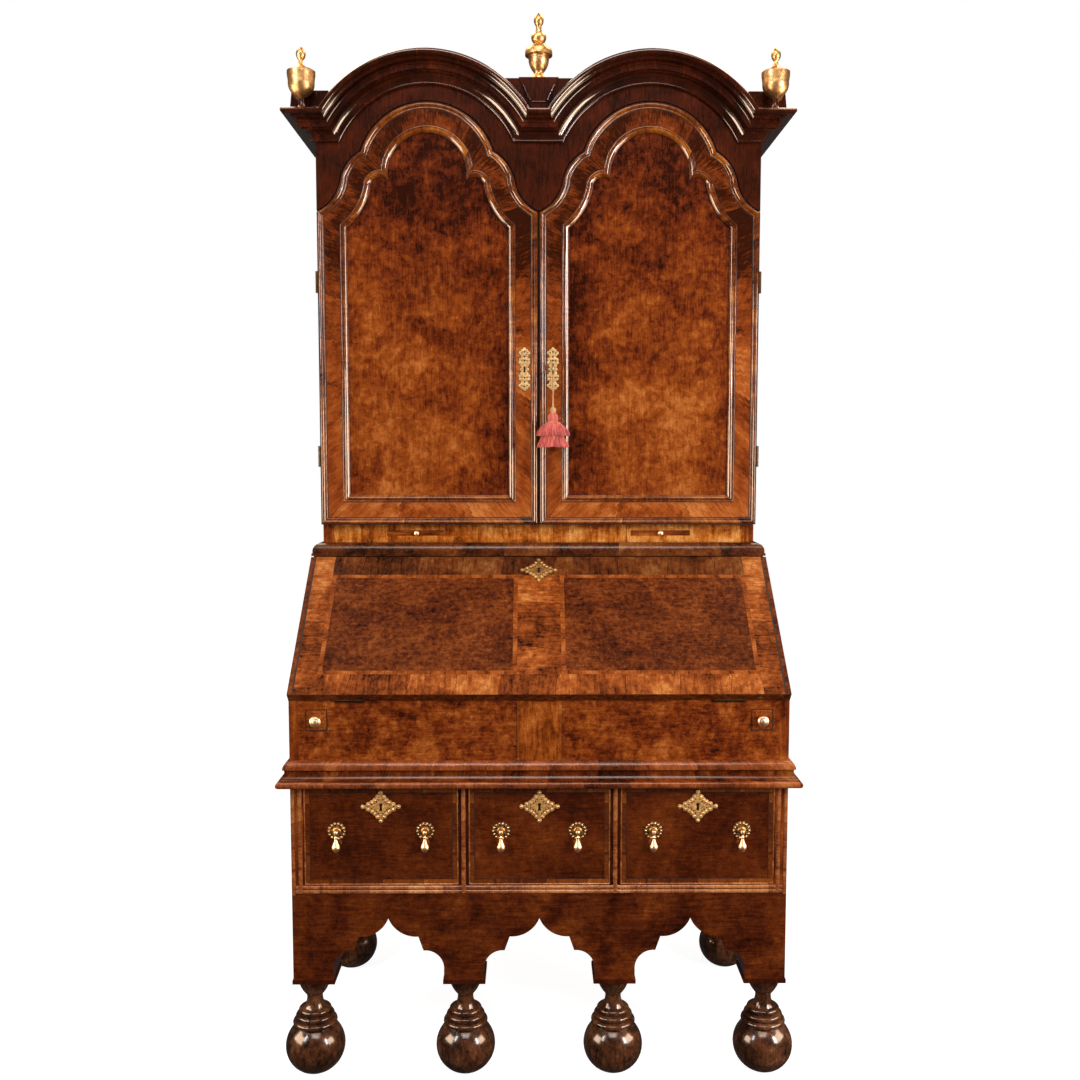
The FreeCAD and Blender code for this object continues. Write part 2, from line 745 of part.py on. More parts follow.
def door_head(x, inset):
    """Steps over a door's head from its right edge to its left edge, drawn in by an inset."""
    arch, lobe, cove = door_circles()
    arch = (arch[0], arch[1], arch[2] - inset)
    lobe = (lobe[0], lobe[1], lobe[2] - inset)
    cove = (cove[0], cove[1], cove[2] + inset)
    edge = door_half - inset
    corner = (edge, cove[1] - math.sqrt(cove[2] ** 2 - (edge - cove[0]) ** 2))
    reach = math.hypot(cove[0] - lobe[0], cove[1] - lobe[1])
    turn = (lobe[0] + (cove[0] - lobe[0]) * lobe[2] / reach, lobe[1] + (cove[1] - lobe[1]) * lobe[2] / reach)
    cusp = crossing(arch, lobe)
    peak = (0.0, arch[1] + arch[2])
    right = [corner, (between(cove, corner, turn), turn), (between(lobe, turn, cusp), cusp)]
    left = [(between(lobe, turn, cusp), turn), (between(cove, corner, turn), corner)]

    def put(point, side):
        return (x + side * point[0], point[1])

    steps = [put(corner, 1)]
    steps += [(put(middle, 1), put(end, 1)) for middle, end in right[1:]]
    steps.append((put(peak, 1), put(cusp, -1)))
    steps += [(put(middle, -1), put(end, -1)) for middle, end in left]
    return steps


def door_slab(x, inset, y0, y1):
    """Board of the door's outline, drawn in by an inset."""
    edge = door_half - inset
    return front_board((x - edge, door_z + inset), [(x + edge, door_z + inset)] + door_head(x, inset), y0, y1)


def make_cabinet():
    side_top = cornice_top_z - roof_thickness
    side = block(-half_cabinet, -cabinet_inner_x, carcass_y, back_y, cabinet_z, side_top)
    save("cabinet_side_left", side)
    save("cabinet_side_right", mirrored(side))

    rail_y = carcass_y + base_rail_thickness
    rail = block(-cabinet_inner_x, cabinet_inner_x, carcass_y, rail_y,
                 cabinet_z, cabinet_z + base_rail_height)
    half_slot = candle_slide_width / 2 + candle_clearance
    for x in (-candle_slide_x, candle_slide_x):
        rail = rail.cut(block(x - half_slot, x + half_slot, carcass_y, rail_y,
                              slide_z - seat_gap, slide_z + candle_slide_thickness + candle_clearance))
    save("cabinet_base_rail", rail)

    boards = [block(-cabinet_inner_x, cabinet_inner_x, rail_y, inner_back_y,
                    floor_z, floor_z + cabinet_floor_thickness)]
    shelf_pitch = (cusp_z - door_z) / (shelf_count + 1)
    for count in range(1, shelf_count + 1):
        z = door_z + count * shelf_pitch
        boards.append(block(-cabinet_inner_x, cabinet_inner_x, carcass_y + shelf_setback, inner_back_y,
                            z, z + shelf_thickness))
    save("cabinet_shelves", *boards)

    outer = dome_steps(roof_radius, cornice_top_z, valley_z, half_cabinet)
    inner = dome_steps(roof_radius - roof_thickness, cornice_top_z - roof_thickness,
                       valley_z - roof_thickness, half_cabinet)
    roof = front_board(outer[0], outer[1:] + inner[::-1][:1] + reversed_steps(inner), carcass_y, inner_back_y)
    save("cabinet_roof", roof)

    gable = front_board((-half_cabinet, shoulder_z + door_gap),
                        outer + [(half_cabinet, shoulder_z + door_gap)], door_y, carcass_y)
    for x in (-door_x, door_x):
        gable = gable.cut(door_slab(x, -door_gap, door_y, carcass_y))
    save("frieze_board", gable)

    back_head = dome_steps(roof_radius, cornice_top_z - roof_thickness, valley_z, cabinet_inner_x)
    cabinet_back = front_board((-cabinet_inner_x, cabinet_z), back_head + [(cabinet_inner_x, cabinet_z)],
                               inner_back_y, back_y)
    stand_back = block(-stand_inner_x, stand_inner_x, inner_back_y, back_y, deck_z, bureau_z)
    bureau_back = block(-bureau_inner_x, bureau_inner_x, inner_back_y, back_y, bureau_z, top_z)
    save("back_boards", stand_back, bureau_back, cabinet_back)


def reversed_steps(steps):
    """The same run of steps walked the other way, without its first point."""
    points = [step[1] if isinstance(step[0], tuple) else step for step in steps]
    back = []
    for index in range(len(steps) - 1, 0, -1):
        step = steps[index]
        back.append((step[0], points[index - 1]) if isinstance(step[0], tuple) else points[index - 1])
    return back


def cornice_outline(place):
    """Bead, cove, fascia, bead and cyma of the cornice, from its foot to its top edge."""
    out = cornice_projection
    tall = cornice_height
    steps = [(0.08 * out, 0), ((0.13 * out, 0.05 * tall), (0.08 * out, 0.1 * tall)),
             ((0.16 * out, 0.27 * tall), (0.4 * out, 0.36 * tall)),
             (0.4 * out, 0.42 * tall), (0.52 * out, 0.42 * tall), (0.52 * out, 0.58 * tall),
             ((0.57 * out, 0.63 * tall), (0.52 * out, 0.68 * tall)), (0.52 * out, 0.71 * tall),
             ((0.69 * out, 0.77 * tall), (0.76 * out, 0.86 * tall)),
             ((0.84 * out, 0.925 * tall), (out, 0.94 * tall)),
             (out, tall), (0, tall)]
    return outline(place, (0, 0), steps)


def make_cornice():
    inner = math.sqrt(arch_radius ** 2 - (cornice_z - arch_z) ** 2)
    outer = math.sqrt(arch_outer_radius ** 2 - (cornice_top_z - arch_z) ** 2)
    lean = (outer - inner) / cornice_height
    high_z = arch_z + arch_outer_radius + 1.0
    high = outer + lean * (high_z - cornice_top_z)
    y0 = door_y - cornice_projection
    far = half_cabinet + cornice_projection

    face = cornice_outline(lambda d, h: Vec(-door_x, door_y - d, arch_z + arch_radius + h))
    ring = face.revolve(Vec(-door_x, 0, arch_z), Vec(0, 1, 0), 360)
    wedge = [(-door_x + inner, cornice_z), (-door_x + high, high_z), (-door_x - high, high_z)]
    arch = ring.common(front_board((-door_x - inner, cornice_z), wedge, y0, door_y))

    face = cornice_outline(lambda d, h: Vec(-far, door_y - d, cornice_z + h))
    run = face.extrude(Vec(2 * far, 0, 0))
    wedge = [(-door_x - inner, cornice_z), (-door_x - outer, cornice_top_z), (-far, cornice_top_z)]
    corner = run.common(front_board((-far, cornice_z), wedge, y0, door_y))
    mitre = [(-half_cabinet, door_y), (-far, y0), (0, y0), (0, door_y)]
    corner = corner.common(plan_prism(mitre, cornice_z, cornice_top_z))
    wedge = [(door_x - inner, cornice_z), (door_x - outer, cornice_top_z), (-door_x + outer, cornice_top_z)]
    centre = run.common(front_board((-door_x + inner, cornice_z), wedge, y0, door_y))
    face = cornice_outline(lambda d, h: Vec(-half_cabinet - d, y0, cornice_z + h))
    side = face.extrude(Vec(0, back_y - y0, 0))
    mitre = [(-half_cabinet, door_y), (-far, y0), (-far, back_y), (-half_cabinet, back_y)]
    side = side.common(plan_prism(mitre, cornice_z, cornice_top_z))
    save("cornice", arch, mirrored(arch), corner, mirrored(corner), centre, side, mirrored(side))


def make_finials():
    top = Part.makePolygon(rectangle(plinth_top_width, cornice_top_z + plinth_height))
    bottom = Part.makePolygon(rectangle(plinth_bottom_width, cornice_top_z))
    centre = Part.makeLoft([bottom, top], True, True)
    x0 = -half_cabinet - corner_block_overhang
    corner = block(x0, x0 + corner_block_length, door_y - corner_block_lip, door_y + corner_block_depth,
                   cornice_top_z, cornice_top_z + corner_block_height)
    drum_start = Vec(-door_x, door_y - cornice_projection, arch_z)
    drum = rod(arch_outer_radius + seat_gap, case_depth, drum_start, Vec(0, 1, 0))
    corner = corner.cut(drum)
    save("finial_plinths", centre, corner, mirrored(corner))

    wide = centre_finial_radius
    tall = centre_finial_height
    steps = [(0.5 * wide, 0), (0.5 * wide, 0.05 * tall), (0.36 * wide, 0.11 * tall),
             ((0.68 * wide, 0.22 * tall), (0.83 * wide, 0.38 * tall)), (wide, 0.4 * tall),
             (wide, 0.43 * tall), ((0.55 * wide, 0.49 * tall), (0.31 * wide, 0.56 * tall)),
             ((0.5 * wide, 0.61 * tall), (0.52 * wide, 0.68 * tall)), (0.22 * wide, 0.72 * tall),
             (0.22 * wide, 0.82 * tall), ((0.35 * wide, 0.91 * tall), (0.06 * wide, tall)), (0, tall)]
    finial_y = door_y - plinth_depth / 2
    save("centre_finial", turning((0, 0), steps, 0, finial_y, cornice_top_z + plinth_height))

    wide = corner_finial_radius
    tall = corner_finial_height
    steps = [(0.36 * wide, 0), (0.19 * wide, 0.16 * tall), (0.25 * wide, 0.23 * tall),
             ((0.82 * wide, 0.4 * tall), (0.96 * wide, 0.6 * tall)), (wide, 0.62 * tall), (wide, 0.65 * tall),
             ((0.6 * wide, 0.69 * tall), (0.14 * wide, 0.77 * tall)), (0.14 * wide, 0.82 * tall),
             ((0.32 * wide, 0.9 * tall), (0.05 * wide, tall)), (0, tall)]
    x = half_cabinet + corner_finial_overhang
    left = turning((0, 0), steps, -x, finial_y - corner_finial_lead, cornice_top_z)
    save("corner_finials", left, mirrored(left))


def rectangle(width, z):
    """Corners of the plinth's plan at a height."""
    y0 = door_y - plinth_depth
    half = width / 2
    return [Vec(-half, y0, z), Vec(half, y0, z), Vec(half, door_y, z), Vec(-half, door_y, z), Vec(-half, y0, z)]


def hinge_knuckles(axis_start, direction, length, radius):
    """Three knuckle lengths on one axis: the two outer ones with the pin, and the bored middle one."""
    third = length / 3
    first = rod(radius, third - seat_gap, axis_start, direction)
    last = rod(radius, third - seat_gap, axis_start + direction * (2 * third + seat_gap), direction)
    pin = rod(hinge_pin_radius, length, axis_start, direction)
    middle = rod(radius, third, axis_start + direction * third, direction)
    bore = rod(hinge_pin_radius + hinge_pin_clearance, third, axis_start + direction * third, direction)
    return first.fuse([last, pin]), middle.cut(bore)


def split_leaf(leaf, axis_start, direction, length, radius, keep_middle):
    """Leaf cut away round the knuckles of the other leaf."""
    third = length / 3
    room = radius + hinge_clearance
    if keep_middle:
        spans = [(0, third), (2 * third, length)]
    else:
        spans = [(third - seat_gap, 2 * third + seat_gap)]
    for start, end in spans:
        leaf = leaf.cut(rod(room, end - start, axis_start + direction * start, direction))
    return leaf


def door_hinge(z):
    """Left door hinge at a height: the fixed half, the moving half and the room cut in the door."""
    low = z - door_hinge_height / 2
    high = z + door_hinge_height / 2
    axis = Vec(-half_cabinet, door_y, low)
    up = Vec(0, 0, 1)
    outer, middle = hinge_knuckles(axis, up, door_hinge_height, hinge_barrel_radius)
    fixed_leaf = block(-half_cabinet - hinge_leaf, -half_cabinet, door_y, carcass_y + hinge_leaf_width, low, high)
    moving_leaf = block(-half_cabinet + seat_gap, -half_cabinet + seat_gap + hinge_leaf, door_y,
                        door_y + hinge_leaf_width, low, high)
    fixed = outer.fuse(split_leaf(fixed_leaf, axis, up, door_hinge_height, hinge_barrel_radius, False))
    moving = split_leaf(moving_leaf, axis, up, door_hinge_height, hinge_barrel_radius, True)
    moving = moving.cut(rod(hinge_pin_radius + hinge_pin_clearance, door_hinge_height, axis, up)).fuse(middle)
    room = rod(hinge_barrel_radius + hinge_clearance, high - low + 2 * hinge_clearance,
               Vec(-half_cabinet, door_y, low - hinge_clearance), up)
    room = room.fuse(block(-half_cabinet, -half_cabinet + seat_gap + hinge_leaf, door_y,
                           door_y + hinge_leaf_width, low - hinge_clearance, high + hinge_clearance))
    return fixed, moving, room


def fall_hinge(x):
    """Fall hinge: the fixed half on the bureau front, and the half in the fall."""
    x0 = x - fall_hinge_length / 2
    axis = Vec(x0, fall_y, fall_z)
    along = Vec(1, 0, 0)
    outer, middle = hinge_knuckles(axis, along, fall_hinge_length, fall_barrel_radius)
    fixed_leaf = block(x0, x0 + fall_hinge_length, fall_y, front_y + front_thickness, fall_z - hinge_leaf, fall_z)
    moving_leaf = block(x0, x0 + fall_hinge_length, fall_y, fall_y + hinge_leaf_width, fall_z, fall_z + hinge_leaf)
    moving_leaf.rotate(axis, along, math.degrees(fall_slope))
    fixed = outer.fuse(split_leaf(fixed_leaf, axis, along, fall_hinge_length, fall_barrel_radius, False))
    moving = split_leaf(moving_leaf, axis, along, fall_hinge_length, fall_barrel_radius, True)
    moving = moving.cut(rod(hinge_pin_radius + hinge_pin_clearance, fall_hinge_length, axis, along)).fuse(middle)
    return fixed, moving


def make_fall():
    board = block(-half_case, half_case, fall_y, fall_y + fall_length, fall_z, fall_z + fall_thickness)
    axis = Vec(0, fall_y, fall_z)
    board.rotate(axis, Vec(1, 0, 0), math.degrees(fall_slope))
    fixed_halves = []
    moving_halves = []
    for x in (-fall_hinge_centre, fall_hinge_centre):
        fixed, moving = fall_hinge(x)
        fixed_halves.append(fixed)
        moving_halves.append(moving)
        x0 = x - fall_hinge_length / 2 - hinge_clearance
        x1 = x + fall_hinge_length / 2 + hinge_clearance
        leaf_room = block(x0, x1, fall_y, fall_y + hinge_leaf_width, fall_z, fall_z + hinge_leaf)
        leaf_room.rotate(axis, Vec(1, 0, 0), math.degrees(fall_slope))
        board = board.cut(leaf_room)
        board = board.cut(rod(fall_barrel_radius + hinge_clearance, x1 - x0, Vec(x0, fall_y, fall_z), Vec(1, 0, 0)))
    save("fall_board", board)

    plate_y = fall_y + fall_length - lozenge_height / 2 - fall_plate_inset
    plate_z = fall_z + fall_thickness
    corners = [(-lozenge_width / 2, plate_y), (0, plate_y + lozenge_height / 2), (lozenge_width / 2, plate_y),
               (0, plate_y - lozenge_height / 2)]
    plate = plan_prism(corners, plate_z, plate_z + plate_thickness)
    plate = plate.cut(rod(keyhole_radius, 2 * plate_thickness, Vec(0, plate_y, plate_z), Vec(0, 0, 1)))
    plate.rotate(axis, Vec(1, 0, 0), math.degrees(fall_slope))
    save("fall_brasses", plate, *moving_halves)
    return fixed_halves


def door_ring(x, inset, width, y0, y1):
    """Band that follows the door's outline."""
    return door_slab(x, inset, y0, y1).cut(door_slab(x, inset + width, y0, y1))


def door_plate(x):
    """Tall keyhole plate on a door."""
    half = door_plate_width / 2
    plate = block(x - half, x + half, door_y - plate_thickness, door_y,
                  key_z - door_plate_height / 2, key_z + door_plate_height / 2)
    return plate.cut(rod(keyhole_radius, 2 * plate_thickness, Vec(x, door_y, key_z), Vec(0, -1, 0)))


def frame_pieces(slab, x):
    """Bottom rail, two stiles and arched head of one door frame."""
    opening = panel_inset + panel_moulding_width / 2
    frame = slab.cut(door_slab(x, opening, door_y, carcass_y))
    rail_z = door_z + opening
    head_z = shoulder_z - panel_inset
    top = cusp_z + door_arch_rise
    x0 = x - door_half
    x1 = x + door_half
    pieces = [frame.common(block(x0, x1, door_y, carcass_y, door_z, rail_z)),
              frame.common(block(x0, x, door_y, carcass_y, rail_z, head_z)),
              frame.common(block(x, x1, door_y, carcass_y, rail_z, head_z)),
              frame.common(block(x0, x1, door_y, carcass_y, head_z, top))]
    return pieces


def make_doors(fall_halves):
    hinge_heights = (door_z + door_hinge_inset, shoulder_z - door_hinge_inset)
    halves = [door_hinge(z) for z in hinge_heights]
    fixed_halves = fall_halves
    for fixed, moving, room in halves:
        fixed_halves += [fixed, mirrored(fixed)]
    save("hinge_plates", *fixed_halves)

    bolt_z = key_z + bolt_rise
    bolt_y = carcass_y - lock_wall - lock_clearance - bolt_thickness
    recess_y = carcass_y - lock_thickness
    for name, x in (("left", -door_x), ("right", door_x)):
        slab = door_slab(x, 0.0, door_y, carcass_y)
        bead = door_ring(x, 0.0, bead_width, door_y - bead_height, door_y)
        moving_halves = []
        for fixed, moving, room in halves:
            here = room if name == "left" else mirrored(room)
            slab = slab.cut(here)
            bead = bead.cut(here)
            moving_halves.append(moving if name == "left" else mirrored(moving))
        if name == "left":
            socket_x = -meeting_gap / 2 - bolt_throw - bolt_end_clearance
            slab = slab.cut(block(socket_x, 0, bolt_y - bolt_end_clearance, carcass_y,
                                  bolt_z - bolt_height, bolt_z + bolt_height))
        else:
            slab = slab.cut(block(0, meeting_gap / 2 + lock_width + lock_clearance, recess_y - lock_clearance,
                                  carcass_y, key_z - lock_height / 2 - lock_clearance,
                                  key_z + lock_height / 2 + lock_clearance))
            slab = slab.cut(rod(key_shank_radius + key_shank_clearance, door_thickness,
                                Vec(key_x, door_y, key_z), Vec(0, 1, 0)))
        save("door_" + name + "_frame", *frame_pieces(slab, x))
        opening = panel_inset + panel_moulding_width / 2 + panel_clearance
        panel_y = door_y + panel_setback
        save("door_" + name + "_panel", door_slab(x, opening, panel_y, panel_y + panel_thickness))
        moulding = door_ring(x, panel_inset, panel_moulding_width, door_y - panel_moulding_height, door_y)
        save("door_" + name + "_mouldings", bead, moulding)
        plate_x = math.copysign(key_x, x)
        save("door_" + name + "_brasses", door_plate(plate_x), *moving_halves)
    make_lock(recess_y, bolt_y, bolt_z)


def make_lock(recess_y, bolt_y, bolt_z):
    """Lock let into the back of the right door, its bolt and its key."""
    x0 = meeting_gap / 2
    case = block(x0, x0 + lock_width, recess_y, carcass_y, key_z - lock_height / 2, key_z + lock_height / 2)
    hollow = block(x0 + lock_wall, x0 + lock_width - lock_wall, recess_y + lock_wall, carcass_y - lock_wall,
                   key_z - lock_height / 2 + lock_wall, key_z + lock_height / 2 - lock_wall)
    half_bolt = bolt_height / 2
    mouth = block(x0, x0 + lock_wall, bolt_y - lock_clearance, bolt_y + bolt_thickness + lock_clearance,
                  bolt_z - half_bolt - lock_clearance, bolt_z + half_bolt + lock_clearance)
    way = rod(key_shank_radius + key_shank_clearance, lock_wall, Vec(key_x, recess_y, key_z), Vec(0, 1, 0))
    save("door_lock", case.cut(hollow).cut(mouth).cut(way))
    save("lock_bolt", block(x0 + seat_gap, x0 + seat_gap + bolt_length, bolt_y, bolt_y + bolt_thickness,
                            bolt_z - half_bolt, bolt_z + half_bolt))

    inner_end = recess_y + lock_wall + key_bit_thickness
    bow_y = door_y - key_shank_out - key_bow_radius
    shank = rod(key_shank_radius, inner_end - bow_y - key_bow_radius, Vec(key_x, bow_y + key_bow_radius, key_z),
                Vec(0, 1, 0))
    bit = block(key_x - key_bit_thickness / 2, key_x + key_bit_thickness / 2, inner_end - key_bit_thickness + seat_gap,
                inner_end, key_z - key_bit_length, key_z)
    bow = Part.makeTorus(key_bow_radius, key_wire_radius, Vec(key_x, bow_y, key_z), Vec(1, 0, 0))
    save("key", shank.fuse([bit, bow]))

    cord_top = key_z - key_bow_radius - key_wire_radius - seat_gap
    cord_foot = cord_top - cord_length
    cord = rod(cord_radius, cord_length, Vec(key_x, bow_y, cord_foot), Vec(0, 0, 1))
    save("tassel_cord", cord)
    neck = cord_foot - tassel_head_height
    steps = [(cord_radius, tassel_head_height),
             ((tassel_head_radius, tassel_head_height * 0.7), (tassel_head_radius * 0.8, tassel_head_height * 0.35)),
             (tassel_head_radius, 0),
             ((tassel_half_width * 0.85, -tassel_skirt_height * 0.4), (tassel_half_width, -tassel_skirt_height)),
             (0, -tassel_skirt_height)]
    tassel = turning((0, tassel_head_height), steps, 0, 0, 0)
    flat = FreeCAD.Matrix()
    flat.scale(1, tassel_flatness, 1)
    tassel = tassel.transformGeometry(flat)
    tassel.translate(Vec(key_x, bow_y, neck))
    save("tassel", tassel)


os.makedirs("parts", exist_ok=True)
make_stand()
make_drawers()
make_waist()
make_bureau()
make_runners()
make_pigeonholes()
make_cabinet()
make_cornice()
make_finials()
make_doors(make_fall())
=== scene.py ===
# %% [markdown]
# # A walnut bureau cabinet
# The cabinet is veneered casework: plain boards carry thin sheets of figured walnut, and mouldings of
# cross-grain walnut hide the joints. The boards come from the frame as they are. This lesson adds the
# mouldings, the veneers, the turned pieces and the brasses as surfaces, and gives each wood and metal its
# finish.

# %% Load the frame
import functools
import math
import bmesh
import bpy
import numpy as np
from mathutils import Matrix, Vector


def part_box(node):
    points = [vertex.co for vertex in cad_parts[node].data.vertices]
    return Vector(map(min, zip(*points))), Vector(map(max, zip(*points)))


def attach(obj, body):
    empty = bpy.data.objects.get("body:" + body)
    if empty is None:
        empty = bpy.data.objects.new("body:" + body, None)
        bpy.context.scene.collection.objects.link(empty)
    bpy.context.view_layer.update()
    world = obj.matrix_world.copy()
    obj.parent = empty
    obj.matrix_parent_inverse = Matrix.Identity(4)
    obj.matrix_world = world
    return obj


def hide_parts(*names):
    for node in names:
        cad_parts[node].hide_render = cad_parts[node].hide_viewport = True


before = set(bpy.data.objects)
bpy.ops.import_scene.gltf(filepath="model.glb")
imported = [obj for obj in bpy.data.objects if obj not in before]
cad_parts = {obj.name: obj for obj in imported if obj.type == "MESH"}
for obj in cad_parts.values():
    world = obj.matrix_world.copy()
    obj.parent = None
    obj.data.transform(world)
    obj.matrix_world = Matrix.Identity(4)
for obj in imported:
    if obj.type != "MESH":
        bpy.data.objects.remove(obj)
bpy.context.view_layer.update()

MM = 0.001

# %% [markdown]
# ## Places taken from the frame
# Every new surface sits on a board, so its place is read from that board's box. The few sizes that a box
# can't give, such as the slope of the fall and the shape of the doors' heads, are repeated from the
# drawing.

# %% Places
lowest = {name: np.array(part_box(name)[0]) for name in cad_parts}
highest = {name: np.array(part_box(name)[1]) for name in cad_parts}
middle = {name: (lowest[name] + highest[name]) / 2 for name in lowest}
FRONT = (0, -1, 0)
SIDES = (-1, 1)
NO_CREASE, METAL_CREASE = 180, 40
HANDS = (("left", -1), ("right", 1))
DRAWERS = ("drawer_left", "drawer_centre", "drawer_right")
front_y = lowest["stand_apron"][1]
back_y = highest["back_boards"][1]
half_case = highest["stand_apron"][0]
deck_z = highest["stand_apron"][2]
drawer_z = highest["drawer_deck"][2]
bureau_z = lowest["bureau_bottom"][2]
writing_z = highest["bureau_front"][2]
half_cabinet = highest["cabinet_side_right"][0]
door_y = lowest["frieze_board"][1]
door_z = lowest["door_left_frame"][2]
door_half = (highest["door_right_frame"][0] - lowest["door_right_frame"][0]) / 2
door_x = middle["door_right_frame"][0]
door_head_z = highest["door_right_frame"][2]
cornice_z, cornice_top = lowest["cornice"][2], lowest["corner_finials"][2]
cornice_rise = highest["cornice"][2] - cornice_top
cornice_projection = highest["cornice"][0] - half_cabinet
fall_run, fall_rise, fall_thickness = 266 * MM, 248 * MM, 20 * MM
fall_y, fall_z = front_y - 2 * MM, writing_z
fall_length = math.hypot(fall_run, fall_rise)
slope = np.array([0, fall_run, fall_rise]) / fall_length
slope_out = np.array([0, -fall_rise, fall_run]) / fall_length
print("door", door_x, door_half, door_z, "fall length", fall_length)

# %% [markdown]
# ## Surfaces from arrays
# A moulding is a profile carried along a path, a turned piece is a profile carried round an axis, and a
# veneer is a flat patch. Each is a grid of points, rows along the profile and columns along the path, so
# one function can turn any of them into a mesh. It also measures the two directions along the surface in
# metres, for the grain to follow.


# %% Grid to mesh
def grid_faces(grid, close_rows, close_columns):
    """Point numbers, rows and columns of the quads between neighbouring rows and columns of a grid."""
    rows, columns = grid.shape[:2]
    r = np.arange(rows if close_rows else rows - 1)
    c = np.arange(columns if close_columns else columns - 1)
    r, c = (part.ravel() for part in np.meshgrid(r, c, indexing="ij"))
    r, c = np.stack([r, r, r + 1, r + 1], axis=-1), np.stack([c, c + 1, c + 1, c], axis=-1)
    return (r % rows) * columns + c % columns, r, c


def arc_lengths(points, axis):
    """Distance along a grid direction and back to its start, on the middle line of the other direction."""
    line = np.take(points, points.shape[1 - axis] // 2, axis=1 - axis)
    steps = np.linalg.norm(np.roll(line, -1, axis=0) - line, axis=1)
    return np.concatenate([[0.0], np.cumsum(steps)])


def make_piece(name, grids, body, material, toward=None, sharp=35, node=None):
    """One object from several grids. Their faces look towards a direction, or outwards without one.

    Outwards = away from the middle of the grid's points, for most of its faces.
    """
    points, quads, uvs, offset = [], [], [], 0
    for grid, close_rows, close_columns in grids:
        faces, r, c = grid_faces(grid, close_rows, close_columns)
        uv = np.stack([arc_lengths(grid, 1)[c], arc_lengths(grid, 0)[r]], axis=-1)
        flat = grid.reshape(-1, 3)
        corner = flat[faces]
        normals = np.cross(corner[:, 2] - corner[:, 0], corner[:, 3] - corner[:, 1])
        away = corner.mean(1) - flat.mean(0) if toward is None else np.array(toward)
        if (normals * away).sum() < 0:
            faces, uv = faces[:, ::-1], uv[:, ::-1]
        points.append(flat)
        quads.append(faces + offset)
        uvs.append(uv)
        offset += len(flat)
    mesh = bpy.data.meshes.new(name)
    mesh.from_pydata(np.concatenate(points), [], np.concatenate(quads))
    layer = mesh.uv_layers.new(name="run")
    layer.data.foreach_set("uv", np.concatenate(uvs).astype(np.float32).ravel())
    return dress(name, mesh, body, material, sharp, node)


def dress(name, mesh, body, material, sharp, node):
    """A smooth object with its finish and its body, which hides the solid that it stands for.

    It has a crease where two faces meet at more than sharp degrees.
    """
    mesh.polygons.foreach_set("use_smooth", np.ones(len(mesh.polygons), dtype=bool))
    mesh.set_sharp_from_angle(angle=math.radians(sharp))
    mesh.materials.append(material)
    piece = bpy.data.objects.new(name, mesh)
    bpy.context.collection.objects.link(piece)
    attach(piece, body)
    if node:
        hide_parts(node)
    return piece


# %% [markdown]
# A joiner draws a profile with a straightedge and compasses. Here too a step is a straight line to a point,
# or an arc through one point to another, and each arc is sampled finely.


# %% Profiles
def arc_points(a, via, b, count):
    """Points on the circle through three points, from a to b by way of via."""
    (ax, ay), (bx, by), (cx, cy) = a, via, b
    d = 2 * (ax * (by - cy) + bx * (cy - ay) + cx * (ay - by))
    ux = ((ax**2 + ay**2) * (by - cy) + (bx**2 + by**2) * (cy - ay) + (cx**2 + cy**2) * (ay - by)) / d
    uy = ((ax**2 + ay**2) * (cx - bx) + (bx**2 + by**2) * (ax - cx) + (cx**2 + cy**2) * (bx - ax)) / d
    radius = math.hypot(ax - ux, ay - uy)
    start, between, end = (math.atan2(y - uy, x - ux) for x, y in (a, via, b))
    turn = (end - start) % (2 * math.pi)
    if (between - start) % (2 * math.pi) > turn:
        turn -= 2 * math.pi
    angle = start + turn * np.linspace(0, 1, count)
    return np.stack([ux + radius * np.cos(angle), uy + radius * np.sin(angle)], axis=-1)


def draw(start, steps, count=9):
    """Sampled outline of straight steps and three-point arcs."""
    runs, here = [np.array([start], dtype=float)], start
    for step in steps:
        if isinstance(step[0], tuple):
            runs.append(arc_points(here, step[0], step[1], count)[1:])
            here = step[1]
        else:
            runs.append(np.array([step], dtype=float))
            here = step
    return np.concatenate(runs)


def circle(count):
    """Unit circle: cosine and sine of evenly spaced angles."""
    angle = np.linspace(0, 2 * np.pi, count, endpoint=False)
    return np.stack([np.cos(angle), np.sin(angle)], axis=-1)


UPRIGHT = np.array([(1, 0, 0), (0, 1, 0), (0, 0, 1)])
FORWARD = np.array([(1, 0, 0), (0, 0, 1), (0, -1, 0)])


def turned(profile, centre, segments=64, axes=UPRIGHT):
    """Profile of radius and height carried round an axis, the last of the three axes."""
    level = profile[:, None, :1] * circle(segments)
    height = np.repeat(profile[:, None, 1:], segments, axis=1)
    return np.concatenate([level, height], axis=-1) @ axes + np.array(centre), False, True


def patch(*corners):
    """A flat sheet between four corners, given in order, whose run goes along its longer side."""
    a, b, c, d = np.array(corners, dtype=float)
    if np.linalg.norm(b - a) <= np.linalg.norm(d - a):
        a, b, c, d = b, c, d, a
    return np.array([[a, b], [d, c]]), False, False


# %% [markdown]
# ## Woods
# Walnut shows several things at once: a cloudy figure tens of millimetres wide, a fine grain along the
# board, and in burr a curly mottling with thin dark veins. One recipe mixes these on coordinates in metres.
# Boards use the object's own coordinates. Cross-banding uses the distance along the moulding, and is cut
# into short lengths, each with its own shade, because cross-grain veneer only comes in short pieces.


# %% Colours and nodes
def linear(hex_colour):
    """Linear colour with full alpha from an sRGB hex value."""
    srgb = np.array([int(hex_colour[i:i + 2], 16) for i in (1, 3, 5)]) / 255
    return (*np.where(srgb <= 0.04045, srgb / 12.92, ((srgb + 0.055) / 1.055) ** 2.4), 1.0)


